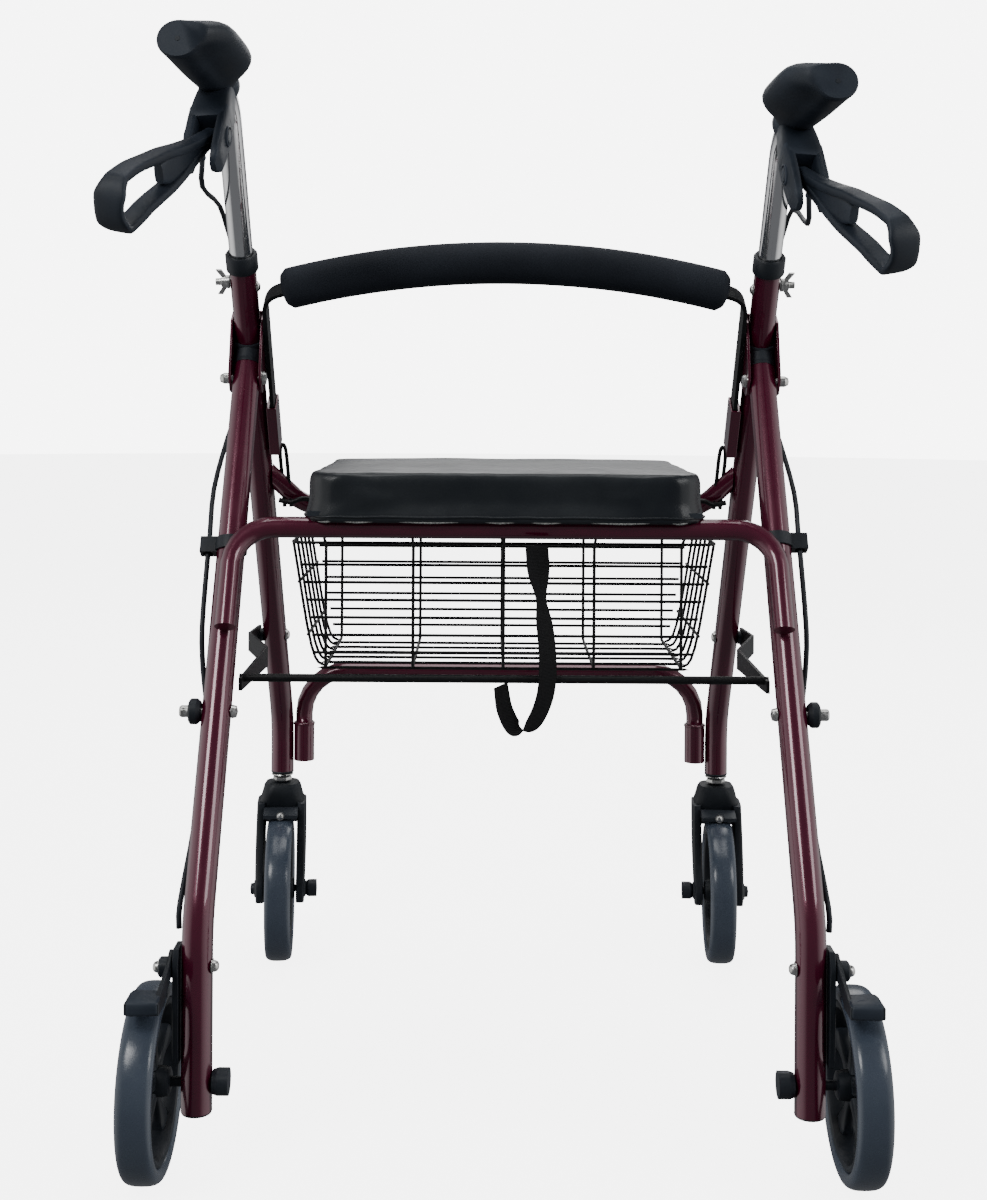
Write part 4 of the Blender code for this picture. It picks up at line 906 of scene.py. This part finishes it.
def side_loops():
    """Black wire loops that stand beside the seat on the front seat tube."""
    low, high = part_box("front_seat_tube")
    y = (low.y + high.y) / 2 + 0.002
    foot_z, bend_z, shoulder_z, tip_z = 0.508, 0.538, 0.564, 0.5715
    for label, side in SIDES:
        x = side * 0.2185
        lean = side * 0.004
        route = smooth_path([
            (x - 0.0032, y - 0.004, foot_z), (x - 0.0032 + lean * 0.5, y - 0.010, bend_z),
            (x - 0.0030 + lean, y - 0.014, shoulder_z), (x + lean, y - 0.015, tip_z),
            (x + 0.0030 + lean, y - 0.014, shoulder_z), (x + 0.0032 + lean * 0.5, y - 0.010, bend_z),
            (x + 0.0032, y - 0.004, foot_z)], 5)
        wires(f"side_loop_{label}", [route], 0.0020, "front_frame", STEEL, 3)
        clip_wire = smooth_path([
            (x - side * 0.030, y - 0.004, 0.5135), (x - side * 0.016, y - 0.013, 0.5165),
            (x - side * 0.004, y - 0.013, 0.5130), (x + side * 0.008, y - 0.012, 0.5150)], 5)
        wires(f"side_clip_{label}", [clip_wire], 0.0026, "front_frame", STEEL, 3)


def strap():
    """Webbing strap from the rear seat tube down round the brace rod, with a twist at its top."""
    low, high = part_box("brace_rod")
    rod_y = (low.y + high.y) / 2
    behind = rod_y - 0.0131
    path = smooth_path([
        (0.028, rod_y + 0.0060, 0.4930), (0.031, rod_y + 0.001, 0.455), (0.037, behind, 0.405),
        (0.036, behind - 0.001, 0.368), (0.025, behind - 0.001, 0.341), (0.011, behind - 0.001, 0.336),
        (0.001, behind, 0.352), (-0.003, behind, 0.374)], 12)
    half_thick, blend_drop = 0.0008, 0.110
    rings = []
    for _, t, here, run in along_path(path):
        turn = math.radians(56 - 50 * math.exp(-(t / 0.09) ** 2) - 16 * math.sin(math.pi * t))
        across = Vector((math.cos(turn), math.sin(turn), 0.0))
        width = (across - run * across.dot(run)).normalized()
        face = run.cross(width)
        half = 0.0100 + 0.0012 * math.exp(-((t - 0.09) / 0.04) ** 2)
        half -= 0.0040 * math.exp(-((t - 0.17) / 0.035) ** 2)
        ring = []
        for k in range(9):
            u = -1.0 + 2.0 * k / 8
            crown = 0.0010 * math.exp(-(t / 0.1) ** 2) * (1 - u * u)
            ring.append(here + width * (u * half) + face * (half_thick + crown))
        for k in range(9):
            u = 1.0 - 2.0 * k / 8
            ring.append(here + width * (u * half) - face * half_thick)
        rings.append(ring)
    piece = lofted_piece("strap_look", rings, None, WEBBING, 50)
    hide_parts("pull_strap")
    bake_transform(piece)


# ---------------------------------------------------------------- fasteners, welds and small trim

def shoe_pad(label, side):
    """Rounded brake pad with a raised loop moulded on its outer face."""
    low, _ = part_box(f"brake_shoe_{label}")
    y, z = low.y + 0.0130, low.z + 0.0056
    rings = []
    for x, grow in ((0.2642, -0.0030), (0.2650, -0.0006), (0.2665, 0.0), (0.2860, 0.0008),
                    (0.2885, 0.0002), (0.2895, -0.0024)):
        rings.append(superellipse(Vector((side * x, y, z)), Vector((0, 1, 0)), UP, 0.0138 + grow,
                                  0.0062 + grow, 0.5, 28))
    lofted_piece(f"shoe_pad_{label}", rings, f"shoe_{label}", GRIP, 50)
    loop = []
    for c, s in [*circle(24), (1.0, 0.0)]:
        loop.append((side * 0.2765 + 0.0066 * c, y - 0.0060 + 0.0034 * s, z + 0.0060 - 0.0005 * (1.0 - s)))
    wires(f"shoe_emboss_{label}", [loop], 0.0008, f"shoe_{label}", GRIP, 2)


def bolt_head(name, place, direction, body, radius, height):
    """Domed screw head on a thin washer."""
    washer_r, washer_top = radius * 1.30, 0.0008
    profile = [(0.0, height), (radius * 0.45, height), (radius * 0.80, height * 0.82),
               (radius, height * 0.45), (radius, washer_top), (washer_r, washer_top), (washer_r, 0.0),
               (0.0, 0.0)]
    turned_piece(name, profile, place, direction, body, ZINC, 24)


def hex_nut(name, place, direction, body, radius, height):
    bm = bmesh.new()
    profile = [(0.0, height), (radius * 0.86, height), (radius, height * 0.80), (radius, height * 0.20),
               (radius * 0.86, 0.0), (0.0, 0.0)]
    add_turned(bm, profile, turn_to(place, direction), 6)
    mesh_piece(name, bm, body, ZINC, 25)


def weld_bead(name, centre, normal, radius, body, thick):
    """Rippled bead round a joint between two tubes."""
    matrix = turn_to(centre, normal)
    rings = []
    for step, (c, s) in enumerate(circle(72)):
        bead = thick * (1.0 + 0.22 * math.sin(step * 2.6) + 0.10 * math.sin(step * 1.1))
        out = Vector((c, s, 0.0))
        rings.append([matrix @ (out * (radius + bead * spin_c) + UP * (bead * 1.3 * spin_s))
                      for spin_c, spin_s in circle(10)])
    bm = bmesh.new()
    add_loft(bm, rings + rings[:1], caps=False)
    bmesh.ops.remove_doubles(bm, verts=bm.verts, dist=0.00001)
    mesh_piece(name, bm, body, PAINT, 80)


def front_axis(side, z):
    """Point on a front leg's centre line at a height."""
    return Vector((side * LEG_X, joint_at("frame_fold").y + 0.039 - LEAN * (z - 0.640), z))


def rear_axis(side, z):
    """Point on a rear leg's centre line at a height."""
    hinge = joint_at("frame_fold")
    return Vector((side * LEG_X, hinge.y + REAR_LEAN * (z - hinge.z), z))


def trim(label, side):
    """Nuts, washers, screws, plugs, spacers and welds on one side."""
    outward, inward = Vector((side, 0, 0)), Vector((-side, 0, 0))
    outer_face, inner_face = LEG_X + LEG_R, LEG_X - LEG_R + 0.0006
    caster, shoe_body = f"caster_{label}", f"shoe_{label}"
    nut_z, washer_z, screw_rise, clamp_z = 0.1845, 0.1912, 0.0812, 0.724
    sleeve_weld_z, sleeve_end_z = 0.2492, 0.2082
    stem = joint_at(f"caster_swivel_{label}")
    hex_nut(f"caster_nut_{label}", Vector((stem.x, stem.y, nut_z)), UP, caster, 0.0105, 0.0055)
    turned_piece(f"caster_washer_{label}",
                 [(0.0, 0.0016), (0.0118, 0.0016), (0.0122, 0.0008), (0.0118, 0.0), (0.0, 0.0)],
                 Vector((stem.x, stem.y, washer_z)), UP, caster, ZINC, 36)
    axle = joint_at(f"front_wheel_spin_{label}")
    toward = Vector((axle.x - stem.x, axle.y - stem.y, 0.0)).normalized()
    bolt_head(f"fork_screw_{label}", axle + toward * 0.0068 + UP * screw_rise, toward, caster,
              0.0034, 0.0030)
    turned_piece(f"leg_plug_{label}",
                 [(0.0, 0.0), (0.0124, 0.0), (0.0128, -0.0008), (0.0124, -0.0018), (0.0, -0.0022)],
                 Vector((stem.x, stem.y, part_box(f"front_leg_{label}")[0].z)), UP, "front_frame", PLASTIC, 36)
    shoe = joint_at(f"shoe_swing_{label}")
    bolt_head(f"shoe_pivot_{label}", Vector((side * (outer_face + 0.0170), shoe.y, shoe.z)), outward,
              shoe_body, 0.0046, 0.0052)
    turned_piece(f"shoe_roll_{label}",
                 [(0.0, 0.0130), (0.0070, 0.0130), (0.0082, 0.0118), (0.0082, 0.0), (0.0, 0.0)],
                 Vector((side * (outer_face + 0.0042), shoe.y, shoe.z)), outward, shoe_body, PLASTIC, 32)
    bolt_head(f"bracket_bolt_{label}", Vector((side * inner_face, shoe.y, shoe.z + 0.001)), inward,
              "rear_frame", 0.0046, 0.0056)
    clamp = front_axis(side, clamp_z)
    bolt_head(f"clamp_head_{label}", clamp + inward * (LEG_R - 0.0006), inward, "front_frame",
              0.0042, 0.0032)
    pivot = joint_at("brace_lift")
    turned_piece(f"brace_spacer_{label}", [(0.0, 0.0034), (0.0072, 0.0034), (0.0072, 0.0), (0.0, 0.0)],
                 Vector((side * (outer_face - 0.0003), pivot.y, pivot.z)), outward, "front_frame",
                 PLASTIC, 24)
    bolt_head(f"brace_bolt_{label}", Vector((side * BRACE_BOLT_X, pivot.y, pivot.z)), outward, "brace",
              0.0055, 0.0040)
    bolt_head(f"brace_bolt_in_{label}", Vector((side * inner_face, pivot.y, pivot.z)), inward,
              "front_frame", 0.0052, 0.0038)
    hinge = joint_at("frame_fold")
    leg_top = Vector((side * LEG_X, hinge.y, hinge.z)) + REAR_UP * 0.0165
    saddle(label, side, leg_top)
    leg_pad(label, side, leg_top)
    rear_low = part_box(f"rear_leg_{label}")[0]
    turned_piece(f"rear_leg_plug_{label}",
                 [(0.0, 0.0006), (0.0122, 0.0006), (0.0126, 0.0), (0.0120, -0.0016), (0.0, -0.0020)],
                 Vector((side * LEG_X, rear_low.y + LEG_R, rear_low.z)), UP, "rear_frame", PLASTIC, 36)
    sleeve_x = side * (LEG_X - LEG_R - 0.0114 - 0.0003)
    weld_bead(f"sleeve_weld_{label}", Vector((sleeve_x, stem.y, sleeve_weld_z)), UP, 0.0104,
              "front_frame", 0.0014)
    turned_piece(f"sleeve_plug_{label}", [(0.0, 0.0004), (0.0085, 0.0004), (0.0085, -0.0008), (0.0, -0.0010)],
                 Vector((sleeve_x, stem.y, sleeve_end_z)), UP, "front_frame", PLASTIC, 30)


def saddle(label, side, leg_top):
    """Plastic end of the rear leg, coped to nest on the front leg behind it."""
    bm = bmesh.new()
    add_turned(bm, [(0.0, 0.0260), (0.0112, 0.0260), (0.0125, 0.0250), (0.0127, 0.0236), (0.0127, 0.0004),
                    (0.0, 0.0004)], turn_to(leg_top, REAR_UP), 40)
    piece = mesh_piece(f"leg_saddle_{label}", bm, "rear_frame", PLASTIC, 40)
    bm = bmesh.new()
    cope_r, cope_length = LEG_R + 0.0006, 0.16
    add_turned(bm, [(0.0, cope_length), (cope_r, cope_length), (cope_r, 0.0), (0.0, 0.0)],
               turn_to(front_axis(side, 0.60), FRONT_UP), 48)
    cope = mesh_piece(f"saddle_cope_{label}", bm, "front_frame", PLASTIC)
    cut = piece.modifiers.new("cope", "BOOLEAN")
    cut.object = cope
    cut.solver = "EXACT"
    apply_modifiers(piece)
    piece.data.set_sharp_from_angle(angle=math.radians(40))
    bpy.data.objects.remove(cope)


def leg_pad(label, side, leg_top):
    """Curved plastic pad on the front leg that the saddle closes against, and the rear leg's end ring."""
    outward = Vector((0.0, -1.0, -LEAN)).normalized()
    rings = []
    for step in range(13):
        angle = math.radians(-54 + 108 * step / 12)
        out = outward * math.cos(angle) + Vector((math.sin(angle), 0.0, 0.0))
        rings.append([front_axis(side, leg_top.z + rise) + out * (LEG_R + height)
                      for rise, height in ((0.0165, 0.0003), (0.0165, 0.0024), (0.0230, 0.0030),
                                           (0.0245, 0.0022), (0.0245, 0.0003))])
    lofted_piece(f"leg_pad_{label}", rings, "front_frame", PLASTIC, 40)
    turned_piece(f"leg_end_ring_{label}",
                 [(0.0, 0.0012), (LEG_R + 0.0001, 0.0012), (LEG_R + 0.0003, 0.0004),
                  (LEG_R + 0.0003, -0.0030), (0.0, -0.0030)], leg_top, REAR_UP, "rear_frame", PLASTIC, 40)


def seat_tube_welds():
    """Small beads on the back of each rear leg, level with the rear seat tube's ends."""
    rearward = Vector((0, -1, REAR_LEAN)).normalized()
    for label, side in SIDES:
        for z, where in ((0.4245, "low"), (0.452, "high")):
            weld_bead(f"rear_weld_{label}_{where}", rear_axis(side, z) + rearward * (LEG_R + 0.0004),
                      rearward, 0.0050, "rear_frame", 0.0013)


# ---------------------------------------------------------------- stage

def stage_piece(name, bm, material):
    """Surface that the camera sees but that sheds no light on the object."""
    mesh = bpy.data.meshes.new(name)
    bm.to_mesh(mesh)
    bm.free()
    mesh.materials.append(material)
    piece = bpy.data.objects.new(name, mesh)
    bpy.context.scene.collection.objects.link(piece)
    piece.visible_diffuse = False
    piece.visible_glossy = False
    return piece


def backdrop():
    """Bright dome far behind everything. It shows behind the object but doesn't light it."""
    bm = bmesh.new()
    bmesh.ops.create_uvsphere(bm, u_segments=48, v_segments=24, radius=13.0)
    bmesh.ops.reverse_faces(bm, faces=bm.faces)
    paper = Finish("backdrop_paper", (0.0, 0.0, 0.0), 1.0, specular_ior_level=0.0,
                   emission_color=(1.0, 1.0, 1.0, 1.0), emission_strength=7.0)
    dome = stage_piece("backdrop", bm, paper.material)
    dome.data.shade_smooth()
    dome.visible_transmission = False
    dome.visible_shadow = False


def floor():
    bm = bmesh.new()
    bmesh.ops.create_grid(bm, x_segments=2, y_segments=2, size=14.0)
    paper = Finish("studio_floor", (0.90, 0.90, 0.90), 0.85, specular_ior_level=0.1,
                   emission_color=(1.0, 1.0, 1.0, 1.0), emission_strength=5.2)
    paper.drive("Base Color", paper.noise(2.0, 3.0), (0.89, 0.89, 0.89), (0.91, 0.91, 0.91))
    stage_piece("floor", bm, paper.material)


def stage():
    """White floor and backdrop, a sky that is brighter at the sides, and four area lamps."""
    floor()
    backdrop()
    world = bpy.data.worlds.new("studio")
    bpy.context.scene.world = world
    world.use_nodes = True
    sky = world.node_tree
    direction = add_node(sky, "ShaderNodeTexCoord").outputs["Generated"]
    split = add_node(sky, "ShaderNodeSeparateXYZ")
    sky.links.new(direction, split.inputs["Vector"])
    sideways = add_node(sky, "ShaderNodeMath", operation="ABSOLUTE")
    sky.links.new(split.outputs["X"], sideways.inputs[0])
    shade = ramp_between(sky, sideways.outputs["Value"], (0.135, 0.138, 0.145), (1.0, 1.0, 1.0), 0.55, 0.97)
    sky.links.new(shade, sky.nodes["Background"].inputs["Color"])
    sky.nodes["Background"].inputs["Strength"].default_value = 1.15
    aim = Vector((0.0, 0.0, 0.5))
    for name, place, size, power in (
            ("key", (-1.5, -1.9, 2.3), 0.9, 30.0), ("fill", (2.0, -1.4, 1.8), 1.0, 16.0),
            ("top", (0.0, 0.2, 2.9), 1.6, 26.0), ("back", (0.3, 2.3, 1.9), 1.6, 18.0)):
        light = bpy.data.lights.new(name, "AREA")
        light.size = size
        light.energy = power
        lamp = bpy.data.objects.new(name, light)
        lamp.location = place
        lamp.rotation_euler = (aim - Vector(place)).to_track_quat("-Z", "Y").to_euler()
        bpy.context.scene.collection.objects.link(lamp)


def camera():
    """Level camera at about the photographer's place, with its picture shifted down to the walker."""
    data = bpy.data.cameras.new("camera")
    data.lens = 49.2
    data.sensor_width = 36.0
    data.shift_x = 0.0054
    data.shift_y = -0.1817
    view = bpy.data.objects.new("camera", data)
    view.location = (-0.0164, -1.5525, 0.636)
    view.rotation_euler = (math.radians(90.0), math.radians(-0.35), 0.0)
    bpy.context.scene.collection.objects.link(view)
    bpy.context.scene.camera = view


camera()
stage()
dress_frame()
for label, side in SIDES:
    wheel_looks("rear", label)
    wheel_looks("front", label)
    fork_looks(label)
    grip_looks(label, side)
    housing_looks(label, side)
    shoe_pad(label, side)
    cable_ferrule(label, side)
    lever_looks(label, side)
    trim(label, side)
seat_tube_welds()
cushion()
backrest_sleeve()
basket_wires()
side_loops()
strap()
